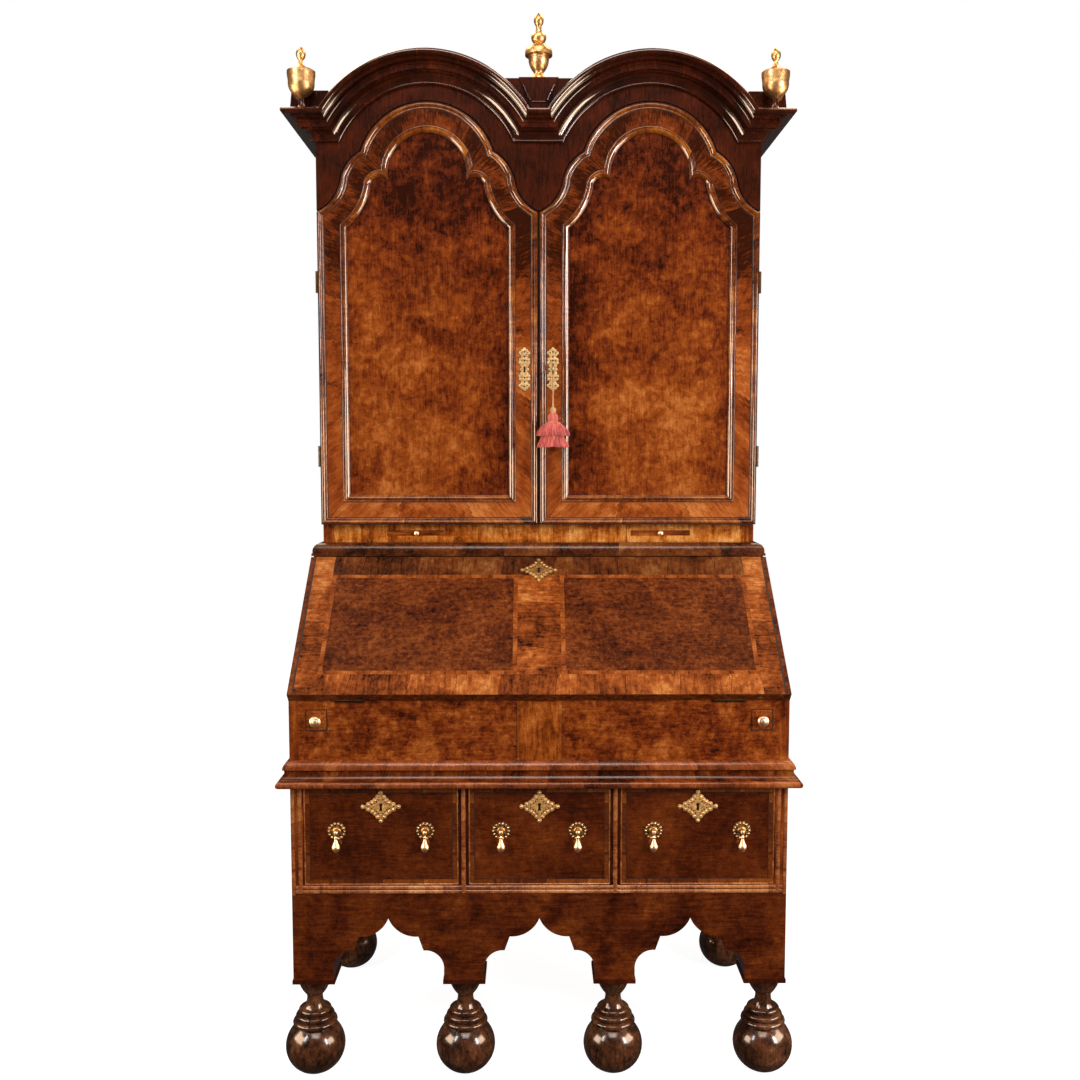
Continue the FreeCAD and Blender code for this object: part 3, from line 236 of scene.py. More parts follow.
def add(tree, kind, inputs=None, output=0, **settings):
    """Adds a node with its settings, gives each named input a value or a link, and returns one output.

    The output is a number or a name. With None, the node itself is returned.
    """
    made = tree.nodes.new("ShaderNode" + kind)
    for key, value in settings.items():
        setattr(made, key, value)
    for key, value in (inputs or {}).items():
        if isinstance(value, bpy.types.NodeSocket):
            tree.links.new(value, made.inputs[key])
        else:
            made.inputs[key].default_value = value
    return made if output is None else made.outputs[output]


def new_material(name, **constants):
    """A material, a function that adds its nodes, and one that links an output to its shader's input.

    The shader's constant values sit on its own sockets.
    """
    material = bpy.data.materials.new(name)
    material.use_nodes = True
    tree = material.node_tree
    shader = tree.nodes["Principled BSDF"]
    for key, value in constants.items():
        shader.inputs[key.replace("_", " ")].default_value = value

    def link(out, key):
        """Links an output to one of the shader's inputs."""
        tree.links.new(out, shader.inputs[key])

    return material, functools.partial(add, tree), link


def lay_tones(ramp, positions, tones):
    """Sets the stops of a colour ramp, from dark to light, and returns its colour."""
    stops = ramp.color_ramp.elements
    for position in positions[1:-1]:
        stops.new(position)
    for stop, position, tone in zip(stops, positions, tones):
        stop.position = position
        stop.color = linear(tone)
    return ramp.outputs["Color"]


# %% [markdown]
# Two things change a veneer's shade. Where it is pieced together, each length keeps a shade of its own. And
# painted light and shade make it paler in one place and darker away from there.


# %% Veneer lengths and painted light
def cut_lengths(put, place, joint, straight):
    """Position along a jointed veneer in lengths, chance values for each length, and its shifted coordinates.

    Position = distance / length, with a slow wander unless the joints are straight.
    """
    along = put("SeparateXYZ", {0: place})
    cell = put("Math", {0: along, 1: 1 / (joint * MM)}, operation="MULTIPLY")
    if not straight:
        wander = put("TexNoise", {"Vector": place, "Scale": 1 / (2.5 * joint * MM), "Detail": 0.0})
        cell = put("Math", {0: cell, 1: wander}, operation="ADD")
    number = put("Math", {0: cell}, operation="FLOOR")
    chance = put("TexWhiteNoise", {"W": number}, None, noise_dimensions="1D").outputs
    return cell, chance, put("VectorMath", {0: place, 1: chance["Color"]}, operation="ADD")


def painted_light(put, place, lit):
    """Painted light and shade round a lit place, lit = (x, z, width, height) in metres.

    Reach = the larger of the distances across and up, as shares of the width and the height, with a soft turn
    from one to the other. The change falls evenly from light to dark as the reach grows.
    """
    x, z, width, height = lit
    away = put("VectorMath", {0: place, 1: (x, 0, z)}, operation="SUBTRACT")
    away = put("VectorMath", {0: away, 1: (width, 1.0, height)}, operation="DIVIDE")
    away = put("VectorMath", {0: away}, operation="ABSOLUTE")
    across, _, up = put("SeparateXYZ", {0: away}, None).outputs
    reach = put("Math", {0: across, 1: up, 2: 0.4}, operation="SMOOTH_MAX")
    return put("MapRange", {"Value": reach, "From Min": 0.25, "From Max": 1.05,
                            "To Min": 0.12, "To Max": -0.28})


# %% [markdown]
# The wood itself is a sum of noises, each as large as the thing it stands for. Pores roughen the wax a
# little, and mouldings that were planed by hand ripple along their length.

# %% Wood
GRAIN_AXES = {"x": 0, "y": 1, "z": 2, "across": 1}
TONE_STOPS = (0.16, 0.4, 0.62, 0.92)
VEIN_GAP, VEIN_SWAY, VEIN_CURL = 24, 26, 12
PORE, SPECK, RIPPLE = 1.4, 2.2, 16
JOINT_WIDTH, BOARD_JOINT_WIDTH = 0.8, 2.0


def wood(name, tones, grain, figure=90, mottle=13, fibre=6, stretch=14, burr=0.5, joint=None, spread=0.14,
         polish=0.2, contrast=1.2, gloss=0.15, lit=None, straight=False, cloud=0.9, waver=0.0):
    """Waxed wood. grain names the axis of the grain, or "across" for cross-banding along the run.

    Shade = wide clouds + burr mottling + drawn-out fibres + specks - dark veins, laid on a ramp of four
    tones. A jointed veneer has a shade for each length and a dark line at its end. waver is how much a
    moulding ripples, as a share of the fullest bump. Sizes are in millimetres, except for lit.
    """
    material, put, link = new_material(name, Coat_Weight=gloss, Coat_Roughness=0.09, Specular_IOR_Level=0.3)
    coordinates = put("TexCoord", output=None).outputs
    place = coordinates["UV" if grain == "across" else "Object"]
    if joint:
        cell, chance, place = cut_lengths(put, place, joint, straight)
    scale = [1 / MM] * 3
    whole = put("VectorMath", {0: place, 1: tuple(scale)}, operation="MULTIPLY")
    scale[GRAIN_AXES[grain]] /= stretch
    drawn = put("VectorMath", {0: place, 1: tuple(scale)}, operation="MULTIPLY")
    # Coordinates, size, detail, roughness, distortion and weight of clouds, mottling, fibres and specks.
    layers = [(whole, figure, 3.0, 0.55, 0.6, cloud), (whole, mottle, 5.0, 0.65, 0.4, burr),
              (drawn, fibre, 5.0, 0.68, 0.5, 1.15 - 0.75 * burr), (whole, SPECK, 2.0, 0.6, 0.0, 0.3)]
    shade = 0.5 - 0.5 * contrast * sum(layer[-1] for layer in layers)
    for vector, size, detail, rough, distortion, weight in layers:
        noise = put("TexNoise", {"Vector": vector, "Scale": 1 / size, "Detail": detail, "Roughness": rough,
                                 "Distortion": distortion})
        shade = put("Math", {0: noise, 1: weight * contrast, 2: shade}, operation="MULTIPLY_ADD")
    sway = put("TexNoise", {"Vector": whole, "Scale": 1 / VEIN_CURL, "Detail": 3.0}, "Color")
    bent = put("VectorMath", {0: sway, 1: (VEIN_SWAY,) * 3, 2: whole}, operation="MULTIPLY_ADD")
    edge = put("TexVoronoi", {"Vector": bent, "Scale": 1 / VEIN_GAP}, "Distance", feature="DISTANCE_TO_EDGE")
    changes = [put("MapRange", {"Value": edge, "From Min": 0.0, "From Max": 0.07, "To Min": -0.1 * burr,
                                "To Max": 0.0})]
    if joint:
        changes.append(put("Math", {0: chance["Value"], 1: 2 * spread, 2: -spread}, operation="MULTIPLY_ADD"))
    # Painted light and shade round the lit place.
    if lit:
        changes.append(painted_light(put, coordinates["Object"], lit))
    for change in changes:
        shade = put("Math", {0: shade, 1: change}, operation="ADD")
    colour = lay_tones(put("ValToRGB", {"Fac": shade}, None), TONE_STOPS, tones)
    if joint:
        width = BOARD_JOINT_WIDTH if straight else JOINT_WIDTH
        inside = put("Math", {0: cell}, operation="FRACT")
        gap = put("Math", {0: inside, 1: width / joint}, operation="LESS_THAN")
        colour = put("Mix", {"Factor": gap, 6: colour, 7: linear(tones[0])}, 2, data_type="RGBA")
    link(colour, "Base Color")
    pores = put("TexNoise", {"Vector": drawn, "Scale": 1 / PORE, "Detail": 2.0})
    link(put("Math", {0: pores, 1: 0.24, 2: polish - 0.12}, operation="MULTIPLY_ADD"), "Roughness")
    relief = put("Bump", {"Height": pores, "Strength": 0.12, "Distance": 0.4 * MM})
    if waver:
        ripple = put("TexNoise", {"Vector": whole, "Scale": 1 / RIPPLE, "Detail": 2.0})
        relief = put("Bump", {"Height": ripple, "Strength": waver, "Distance": 3 * MM, "Normal": relief})
    link(relief, "Normal")
    return material


# %% [markdown]
# Each wood has four tones, from the bottom of its pores to its lightest streaks. The doors have painted light
# and
# shade: they are palest low down and outwards, and darken towards their heads.

# %% Tones
DOOR_TONES = ("#2b0900", "#642509", "#8c4111", "#bb6d30")
FALL_TONES = ("#220800", "#4f1d06", "#71330d", "#995424")
BAND_TONES = ("#2c0c00", "#733108", "#9d4d17", "#cd843f")
FRAME_TONES = ("#300d00", "#74300c", "#9b4a18", "#c8793c")
# The rail's tones are lighter than the bands': painted light where the doors above shade it.
LIT_RAIL_TONES = ("#4c1800", "#a14e12", "#c87930", "#e6ab66")
DARKER_BAND_TONES = ("#1d0800", "#4c2008", "#6a330f", "#8c592a")
DRAWER_TONES = ("#180500", "#431604", "#632909", "#8d4b1b")
DARK_TONES = ("#0e0300", "#2c0d02", "#471806", "#6c2e0f")
FOOT_TONES = ("#140803", "#3d1f0f", "#60361e", "#8c5c3c")
MOULD_TONES = ("#2a0b01", "#662909", "#8c4116", "#b86c34")
PALE_TONES = ("#4a1c08", "#8c4820", "#b56e3c", "#dda066")
BEAD_TONES = ("#240a02", "#592509", "#864212", "#b9722f")
OAK_TONES = ("#4a2c14", "#7d5229", "#a07242", "#bd905c")
JOINT_AND_SHADOW_TONES = ("#0c0301", "#120501", "#180702", "#200b03")
print("tones of the doors", DOOR_TONES)

# %% Walnut finishes
panel_inset = 65 * MM
panel_half = door_half - panel_inset
panel_low = door_z + panel_inset
panel_height = door_head_z - panel_inset - panel_low
painted_light_shift, painted_light_width = 0.3 * panel_half, 1.5 * panel_half
# The frames' painted shade darkens them only upwards: this width is far more than the cabinet's.
frame_fade_width, frame_fade_height = 10.0, 0.6
veneer = {
    # Burr sheets: curly and cloudy under a soft wax shine.
    "fall_field": wood("burr walnut, fall", FALL_TONES, "x", mottle=10, stretch=5, burr=0.9, cloud=0.65),
    "front": wood("burr walnut, bureau front", DOOR_TONES, "x", stretch=8, burr=0.8),
    # Plain and darkened boards: straighter streaks and less contrast.
    "front_band": wood("lighter walnut", BAND_TONES, "z", stretch=9),
    "drawer": wood("old walnut, drawers", DRAWER_TONES, "x", figure=120, fibre=4, stretch=9, burr=0.6,
                   contrast=0.8),
    "apron": wood("walnut, apron", DRAWER_TONES, "x", stretch=9, burr=0.6, contrast=1.0),
    "upright": wood("walnut, upright grain", DOOR_TONES, "z", stretch=20, burr=0.3),
    "level": wood("walnut, level grain", DOOR_TONES, "x", stretch=20, burr=0.3),
    "deep": wood("walnut, grain to the back", DOOR_TONES, "y", stretch=20, burr=0.3),
    "dark": wood("dark walnut", DARK_TONES, "z", fibre=4, stretch=9, burr=0.25, contrast=0.8),
    "foot": wood("dark turned walnut", FOOT_TONES, "z", figure=60, stretch=6, burr=0.6, gloss=0.4),
    # Cross-banding: short lengths side by side, each with its own shade.
    "band": wood("cross-banded walnut", BAND_TONES, "across", figure=60, stretch=7, joint=110, burr=0.6),
    # The doors' bands carry painted shade, darker towards their heads.
    "door_band": wood("cross-banded walnut, doors, painted light", FRAME_TONES, "across", figure=70, fibre=4, stretch=7,
                      joint=150, burr=0.4, contrast=1.0, spread=0.12,
                      lit=(0, door_z, frame_fade_width, frame_fade_height)),
    "top_border": wood("darker cross-banded walnut", DARKER_BAND_TONES, "across", figure=60, stretch=7, joint=110,
                       burr=0.6),
    "drawer_band": wood("cross-banded walnut, drawers", BEAD_TONES, "across", figure=60, stretch=8, joint=95,
                        contrast=0.6),
    "feather": wood("feather banding", BAND_TONES, "across", figure=40, stretch=3, joint=24, contrast=0.8,
                    spread=0.08),
    # Lighter tones on the rail: painted light where the doors above shade it.
    "rail": wood("cross-banded rail, painted light", LIT_RAIL_TONES, "z", figure=60, stretch=7, joint=128, burr=0.6,
                 spread=0.06),
    "top": wood("cross-banded top", DARKER_BAND_TONES, "y", figure=60, stretch=7, joint=117, polish=0.26,
                waver=0.4),
    # Mouldings: rubbed to a shine, so that their rounds show as bright lines.
    "cornice": wood("dark cross-grain walnut", DARK_TONES, "across", stretch=8, joint=120, spread=0.06,
                    polish=0.15, gloss=1.0, contrast=0.8, waver=0.15),
    "mould": wood("cross-grain walnut moulding", MOULD_TONES, "across", figure=60, fibre=4, stretch=6,
                  joint=105, polish=0.26, gloss=0.3, contrast=0.9, waver=0.5),
    "bead": wood("cross-grain walnut bead", BEAD_TONES, "across", figure=60, stretch=6, joint=140,
                 polish=0.14, gloss=1.0, contrast=0.9, waver=0.15),
    # The hollow takes darker tones than the rounds: painted shade in the recess.
    "hollow": wood("cross-grain walnut hollow, painted shade", DRAWER_TONES, "across", figure=60, fibre=4, stretch=6,
                   joint=105, polish=0.16),
    "pale_bead": wood("pale cross-grain bead", PALE_TONES, "across", figure=60, fibre=4, stretch=6, joint=90,
                      gloss=0.8, contrast=0.9, waver=0.2),
    # Joints and corners where old polish has gathered, and painted shadow in gaps: nearly black and without
    # shine.
    "joint_and_shadow": wood("dark joint and painted shadow", JOINT_AND_SHADOW_TONES, "across", polish=0.6, gloss=0.0),
    "polish_and_shadow": wood("dark old polish and painted shadow", JOINT_AND_SHADOW_TONES, "z", polish=0.5, gloss=0.0),
    # The back and the shelves: dry oak boards with straight joints.
    "oak": wood("plain oak boards", OAK_TONES, "z", figure=60, fibre=4, stretch=24, burr=0.1, joint=155,
                polish=0.5, contrast=0.7, spread=0.1, straight=True),
}
# Painted light on the panels: palest low down and outwards, darker towards their heads.
for hand, side in HANDS:
    painted_light_x = side * (door_x + painted_light_shift)
    veneer["panel_" + hand] = wood(f"burr walnut, {hand} door", DOOR_TONES, "z", figure=110, mottle=18,
                                   fibre=3.5, stretch=9, burr=0.85, contrast=1.1, cloud=0.85,
                                   lit=(painted_light_x, panel_low, painted_light_width, panel_height))
print("woods", len(veneer))

# %% [markdown]
# ## Metals and silk
# The mounts are cast and chased brass, polished on the high parts and brown in the hollows. The finials are
# gilded brass, so they are yellower and a little rubbed. The key is filed steel. The tassel is silk.


# %% Metal finishes
def metal(name, bright, stain, rough, patch_size=6, share=0.5, chasing=0.12, stroke=0.8):
    """Metal with stains and tool marks. Stain = noise in patches, darker and duller than the rest.

    chasing is the depth of the marks, as a share of the fullest bump. Sizes are in millimetres.
    """
    material, put, link = new_material(name, Metallic=1.0)
    place = put("TexCoord", output="Object")
    cloud = put("TexNoise", {"Vector": place, "Scale": 1 / (patch_size * MM), "Detail": 6.0,
                             "Roughness": 0.7})
    marks = put("TexNoise", {"Vector": place, "Scale": 1 / (stroke * MM), "Detail": 2.0})
    ramp = put("ValToRGB", {"Fac": cloud}, None)
    link(lay_tones(ramp, (share - 0.2, share + 0.08), (stain, bright)), "Base Color")
    link(put("Math", {0: cloud, 1: -0.3, 2: rough + 0.17}, operation="MULTIPLY_ADD"), "Roughness")
    link(put("Bump", {"Height": marks, "Strength": chasing, "Distance": stroke / 4 * MM}), "Normal")
    return material


def silk(name, bright, shade, thread):
    """Twisted silk. Shade = slanted bands along the run, one thread wide, + upright streaks of threads."""
    material, put, link = new_material(name, Sheen_Weight=0.5, Sheen_Roughness=0.4, Roughness=0.6)
    coordinates = put("TexCoord", output=None).outputs
    bands = put("TexWave", {"Vector": coordinates["UV"], "Scale": 0.3 / (thread * MM), "Distortion": 1.5,
                            "Detail": 2.0}, "Fac", bands_direction="DIAGONAL")
    hung = put("VectorMath", {0: coordinates["Object"], 1: (1.0, 1.0, 0.04)}, operation="MULTIPLY")
    streak = put("TexNoise", {"Vector": hung, "Scale": 0.4 / (thread * MM), "Detail": 3.0})
    mixed = put("Math", {0: bands, 1: 0.3, 2: streak}, operation="MULTIPLY_ADD")
    link(lay_tones(put("ValToRGB", {"Fac": mixed}, None), (0.45, 0.8), (shade, bright)), "Base Color")
    link(put("Bump", {"Height": bands, "Strength": 0.6, "Distance": 0.5 * MM}), "Normal")
    return material


# Brass left to darken, for the hinges, and brass kept bright by hands.
old_brass = metal("darkened brass", "#4a3520", "#1e120a", 0.5)
brass = metal("polished brass", "#f4d2ac", "#a87c52", 0.42)
# Sheet brass worked with punches: its marks break up the highlights. It is darker where it is less rubbed.
chased = metal("chased sheet brass", "#d6ae72", "#8e6230", 0.6, patch_size=4, chasing=0.8, stroke=3)
aged = metal("aged sheet brass", "#dcba84", "#86643e", 0.5, patch_size=4, chasing=0.6, stroke=2)
worn = metal("worn sheet brass", "#b98d54", "#4a3018", 0.42, patch_size=4, chasing=0.6, stroke=2)
# Gilding, with brown where it has rubbed through, and grey steel with a dull sheen.
gilt = metal("gilded turning", "#eebf84", "#85501f", 0.38, patch_size=9)
steel = metal("filed steel", "#8d877d", "#3d362f", 0.36)
# Silk threads have a soft sheen along their edges.
red_silk = silk("red silk", "#f66c5a", "#8e1c1a", 1.2)
gold_silk = silk("gold cord silk", "#e8b070", "#94582a", 1.6)
print("metals and silks made")

# %% [markdown]
# ## Finishes on the boards
# The boards keep their own meshes. Each takes the wood whose grain runs the way a joiner would lay it.

# %% Boards
sided = {name: [f"{name}_left", f"{name}_right"] for name in
         ("stand_side", "bureau_side", "cabinet_side", "candle_slide", "loper")}
board_finish = [
    (veneer["upright"], sided["stand_side"] + sided["bureau_side"] + sided["cabinet_side"]),
    (veneer["upright"], ["door_left_frame", "door_right_frame"]),
    (veneer["level"], ["pigeonholes", "drawer_deck", "well_slide", "writing_bed", "bureau_bottom"]),
    (veneer["level"], sided["candle_slide"]),
    (veneer["deep"], sided["loper"]),
    (veneer["front"], ["bureau_front"]),
    (veneer["fall_field"], ["fall_board"]),
    (veneer["drawer"], DRAWERS),
    (veneer["apron"], ["stand_apron"]),
    # The drawer dividers take the dark walnut: painted shadow in the gaps round the drawers.
    (veneer["dark"], ["foot_blocks", "drawer_dividers", "frieze_board", "finial_plinths", "cabinet_roof"]),
    (veneer["rail"], ["cabinet_base_rail"]),
    (veneer["top"], ["bureau_top"]),
    (veneer["oak"], ["slide_guides", "back_boards", "cabinet_shelves"]),
    (veneer["panel_left"], ["door_left_panel"]),
    (veneer["panel_right"], ["door_right_panel"]),
    (old_brass, ["hinge_plates"]),
    (steel, ["door_lock", "lock_bolt", "key"]),
]


def finish_node(node, material):
    """Gives every slot of a frame node one finish."""
    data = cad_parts[node].data
    if not data.materials:
        data.materials.append(material)
    for index in range(len(data.materials)):
        data.materials[index] = material


for material, nodes in board_finish:
    for node in nodes:
        finish_node(node, material)
print("boards finished")

# %% [markdown]
# ## Camera and light
# The photograph was taken from a little over two metres away, about 1.3 metres above the floor, looking a
# little down. Lights stand left and right, as the twin highlights on the ball feet show, with softer ones
# in front and above. Cards in front, behind, at the sides and overhead only show as reflections: they draw
# the bright lines along the mouldings.

# %% Camera
# Fitted so that the cabinet's edges fall where they do in the photograph.
camera_data = bpy.data.cameras.new("camera")
camera_data.lens = 37.08
camera_data.sensor_width = 36.0
camera_pitch, camera_yaw = 4.626, 0.356
camera = bpy.data.objects.new("camera", camera_data)
camera.location = (-12.4 * MM, front_y - 2185.4 * MM, 1283 * MM)
camera.rotation_euler = (math.radians(90 - camera_pitch), 0, math.radians(-camera_yaw))
bpy.context.collection.objects.link(camera)
bpy.context.scene.camera = camera
print("camera at", tuple(camera.location))


# %% Lights
def soft_light(name, place, target, size, power, colour="#ffffff"):
    """A rectangular studio light that faces a point."""
    data = bpy.data.lights.new(name, "AREA")
    data.color = linear(colour)[:3]
    data.shape = "RECTANGLE"
    data.size, data.size_y = size
    data.energy = power
    light = bpy.data.objects.new(name, data)
    light.location = place
    x, y, z = np.array(target) - np.array(place)
    light.rotation_euler = (math.atan2(math.hypot(x, y), -z), 0, math.atan2(y, x) - math.pi / 2)
    bpy.context.collection.objects.link(light)
    return light


soft_light("left light", (-2.3, -2.2, 2.5), (0, 0, 1.0), (0.5, 1.3), 50)
soft_light("right light", (2.4, -2.1, 1.7), (0, 0, 0.8), (0.5, 1.3), 78)
soft_light("front light", (0.0, -3.2, 4.3), (0, 0, 0.9), (2.2, 0.9), 52)
CARD_COLOUR = "#ffdfc0"
card_places = [("front card", (0, -2.2, 4.5), (0, 0, 1.0), (3.0, 1.4), 70),
               ("back card", (0, 2.4, 1.6), (0, 0, 1.6), (7.0, 4.0), 1.5)]
for hand, side in HANDS:
    card_places += [(hand + " card", (side * 1.9, -0.75, 0.98), (0, -0.1, 1.0), (1.2, 0.95), 62),
                    (hand + " overhead card", (side * 1.5, 1.0, 4.2), (0, 0, 1.9), (2.2, 1.2), 77)]
for card_place in card_places:
    card = soft_light(*card_place, CARD_COLOUR)
    card.visible_diffuse = card.visible_camera = False
overhead = soft_light("top light", (0.0, -0.9, 4.2), (0, -0.3, 0), (3.0, 2.0), 30)
overhead.visible_glossy = False
print("cards", len(card_places))

# %% [markdown]
# The room is white to the camera, and dim to the wood: otherwise the polish would mirror it and look grey.
# The floor glows softly, so that it stays as white as the room.

# %% Room
world = bpy.data.worlds.new("studio")
world.use_nodes = True
sky = world.node_tree.nodes["Background"]
sky.inputs["Color"].default_value = linear("#ffffff")
rays = add(world.node_tree, "LightPath", output=None).outputs
dim = add(world.node_tree, "MapRange", {"Value": rays["Is Glossy Ray"], "To Min": 0.22, "To Max": 0.04})
glow = add(world.node_tree, "Math", {0: rays["Is Camera Ray"], 1: dim}, operation="MAXIMUM")
world.node_tree.links.new(glow, sky.inputs["Strength"])
bpy.context.scene.world = world
bpy.context.scene.view_settings.view_transform = "Standard"
pale, _, _ = new_material("pale floor", Base_Color=linear("#9a9895"), Emission_Color=linear("#ffffff"),
                          Emission_Strength=0.93, Roughness=0.9)
floor_reach = 14.0
x, y = floor_reach * np.array([(-1, 1, 1, -1), (-1, -1, 1, 1)])
floor_mesh = bpy.data.meshes.new("floor")
floor_mesh.from_pydata(np.stack([x, y, 0 * x], axis=-1), [], [(0, 1, 2, 3)])
floor_mesh.materials.append(pale)
floor = bpy.data.objects.new("floor", floor_mesh)
bpy.context.collection.objects.link(floor)
floor.visible_glossy = floor.visible_diffuse = False
print("floor", 2 * floor_reach, "metres wide")

# %% [markdown]
# ## Cord and tassel
# A twisted gold cord hangs from the key's bow and carries a red silk tassel. The cord's line is one spline
# through the route's points, and it runs on into the head. Three strands wind round it.


# %% Cord
def curve_mesh(data):
    """Points and faces that Blender makes of a curve. The curve is then removed."""
    holder = bpy.data.objects.new(data.name, data)
    mesh = bpy.data.meshes.new_from_object(holder)
    points = np.empty(len(mesh.vertices) * 3)
    mesh.vertices.foreach_get("co", points)
    faces = [tuple(face.vertices) for face in mesh.polygons]
    bpy.data.objects.remove(holder)
    bpy.data.curves.remove(data)
    bpy.data.meshes.remove(mesh)
    return points.reshape(-1, 3), faces


def tube(spine, radius, sides):
    """Level circles round the points of a line that runs downwards."""
    section = np.pad(radius * circle(sides), ((0, 0), (0, 1)))
    return spine[:, None] + section, False, True


cord_low, cord_high = lowest["tassel_cord"], highest["tassel_cord"]
cord_x, cord_y = middle["tassel_cord"][:2]
cord_radius = (cord_high[0] - cord_low[0]) / 2
cord_in_head = 28 * MM
cord_route = [(cord_x, cord_y, cord_high[2]), (cord_x, cord_y, cord_low[2]),
              (cord_x, cord_y, cord_low[2] - cord_in_head)]
spline_data = bpy.data.curves.new("cord line", "CURVE")
spline_data.dimensions = "3D"
spline = spline_data.splines.new("NURBS")
spline.points.add(len(cord_route) - 1)
spline.points.foreach_set("co", np.insert(np.array(cord_route), 3, 1.0, axis=1).ravel())
spline.order_u = 3
spline.use_endpoint_u = True
spline.resolution_u = 24
cord_line, _ = curve_mesh(spline_data)

strand_radius, strand_pitch, strands = 0.52 * cord_radius, 8 * MM, 3
fallen = np.linalg.norm(cord_line - cord_line[0], axis=1)
strand_grids = []
for strand in range(strands):
    twist = 2 * np.pi * (fallen / strand_pitch + strand / strands)
    offset = (cord_radius - strand_radius) * np.stack([np.cos(twist), np.sin(twist), 0 * twist], axis=-1)
    strand_grids.append(tube(cord_line + offset, strand_radius, 8))
rope = make_piece("tassel_cord_rope", strand_grids, "tassel", gold_silk, node="tassel_cord",
                  sharp=NO_CREASE)

# %% [markdown]
# The tassel has a knot, a bound head, and two tiers of thread. Each thread is a thin tube that leaves the
# head, flares and falls to the hem. The whole is flatter than it is wide, because it lies against the door.

# %% Tassel
rng = np.random.default_rng(7)
head_z, hem_z = cord_low[2], lowest["tassel"][2]
half_width = 1.25 * (highest["tassel"][0] - lowest["tassel"][0]) / 2
head_flatness, skirt_flatness = 0.62, 0.36
thread_radius, thread_wave = 0.9 * MM, 0.6 * MM
knot_line = draw((0, 0), [((5.4, -1), (6.8, -6)), ((6, -10), (3.6, -12)), (0, -12)], 11) * MM
head_line = draw((0, -10), [(4.4, -11), ((10.4, -17), (11.4, -24)), ((10.6, -28), (7, -31)), (0, -31)],
                 11) * MM
knot_grid, head_grid = (turned(line, (0, 0, 0), 40)[0] * (1, head_flatness, 1) + (cord_x, cord_y, head_z)
                        for line in (knot_line, head_line))


def binding(below, radius, thickness):
    """A bound ring of cord round the head, flattened as the head is."""
    out = np.pad(circle(40), ((0, 0), (0, 1)))
    across, rise = np.split(circle(8)[:, None], 2, axis=-1)
    centre_line = radius * out * (1, head_flatness, 1) + (cord_x, cord_y, head_z - below)
    return centre_line + thickness * (across * out + rise * np.array([0, 0, 1.0])), True, True


def thread_tier(count, top_z, low_z, top_radius, hem_radius, bow):
    """Threads that leave the head, flare and fall, as thin tubes of five sides.

    Radius = top radius + flare * (1 - (1 - t) to the power of bow), for t from 0 at the head to 1 at the hem.
    """
    grids = []
    angles = 2 * np.pi * (np.arange(count) + rng.uniform(-0.3, 0.3, count)) / count
    depths = rng.uniform(0.72, 1.0, count)
    drops = rng.uniform(0.93, 1.0, count)
    t = np.linspace(0, 1, 9)
    for angle, depth, drop in zip(angles, depths, drops):
        radius = top_radius + (hem_radius - top_radius) * depth * (1 - (1 - t)**bow)
        radius = radius + thread_wave * np.sin(9 * t + 40 * depth)
        spine = np.stack([cord_x + radius * np.cos(angle), cord_y + skirt_flatness * radius * np.sin(angle),
                          top_z - t * drop * (top_z - low_z)], axis=-1)
        grids.append(tube(spine, thread_radius, 5))
    return grids


tier_threads = 240
skirt_top = head_z - 30 * MM
tier_z = skirt_top - 0.55 * (skirt_top - hem_z)
threads = thread_tier(tier_threads, skirt_top, hem_z + 0.5 * MM, 8 * MM, half_width - 2 * MM, 1.0)
threads += thread_tier(tier_threads, skirt_top + 1 * MM, tier_z, 9 * MM, half_width - 1 * MM, 1.7)
rings = [binding(10.6 * MM, 4.6 * MM, 1.2 * MM), binding(29 * MM, 8.8 * MM, 1.4 * MM),
         binding(31.5 * MM, 8.8 * MM, 1.2 * MM)]
skirt = make_piece("tassel_threads", threads, "tassel", red_silk, node="tassel", sharp=NO_CREASE)
head = make_piece("tassel_head", [(head_grid, False, True)], "tassel", red_silk, sharp=NO_CREASE)
knot_parts = [(knot_grid, False, True)]
knot = make_piece("tassel_knot", knot_parts, "tassel", gold_silk, sharp=NO_CREASE)
bindings = make_piece("tassel_bindings", rings, "tassel", gold_silk, sharp=NO_CREASE)
print("threads", len(threads))

# %% [markdown]
# ## Ball feet
# Each foot is one turning: a flattened ball, three rings that step in, a neck, and a cushion under the pad.

# %% Feet
foot_profile = draw((0, 0), [(24, 0), ((61, 54), (40, 97)), (39, 98), ((45.4, 104), (40, 110)), (34.5, 111),
                             ((39.6, 116.5), (34.5, 122)), (29, 123), ((33.4, 128.5), (28, 134)), (23, 135),
                             ((17, 148), (17, 164)), (19, 164), ((30, 182), (34, 196)), (34, 200), (0, 200)],
                    count=17) * MM
foot_inset, back_foot_inset, foot_spread = 41 * MM, 62 * MM, 6 * MM
foot_x = half_case - foot_inset
outer_foot_x = foot_x + foot_spread
foot_places = [(x, front_y + foot_inset, 0) for x in (-outer_foot_x, -foot_x / 3, foot_x / 3, outer_foot_x)]
foot_places += [(x, back_y - back_foot_inset, 0) for x in (-outer_foot_x, outer_foot_x)]
make_piece("ball_feet_turned", [turned(foot_profile, place, 72) for place in foot_places], "carcass",
           veneer["foot"], node="ball_feet")
print("feet", len(foot_places))

# %% [markdown]
# ## Finials
# Gilded urns stand on the corners of the cornice, and a taller one on the block between the domes. The
# corner urns have dark wooden feet, and a dark block with a leaning outer side stands behind each.


# %% Finials
def sized(steps, wide, tall):
    """Steps given as shares of a width and a height, at full size."""
    return [tuple((x * wide, z * tall) for x, z in step) if isinstance(step[0], tuple) else
            (step[0] * wide, step[1] * tall) for step in steps]


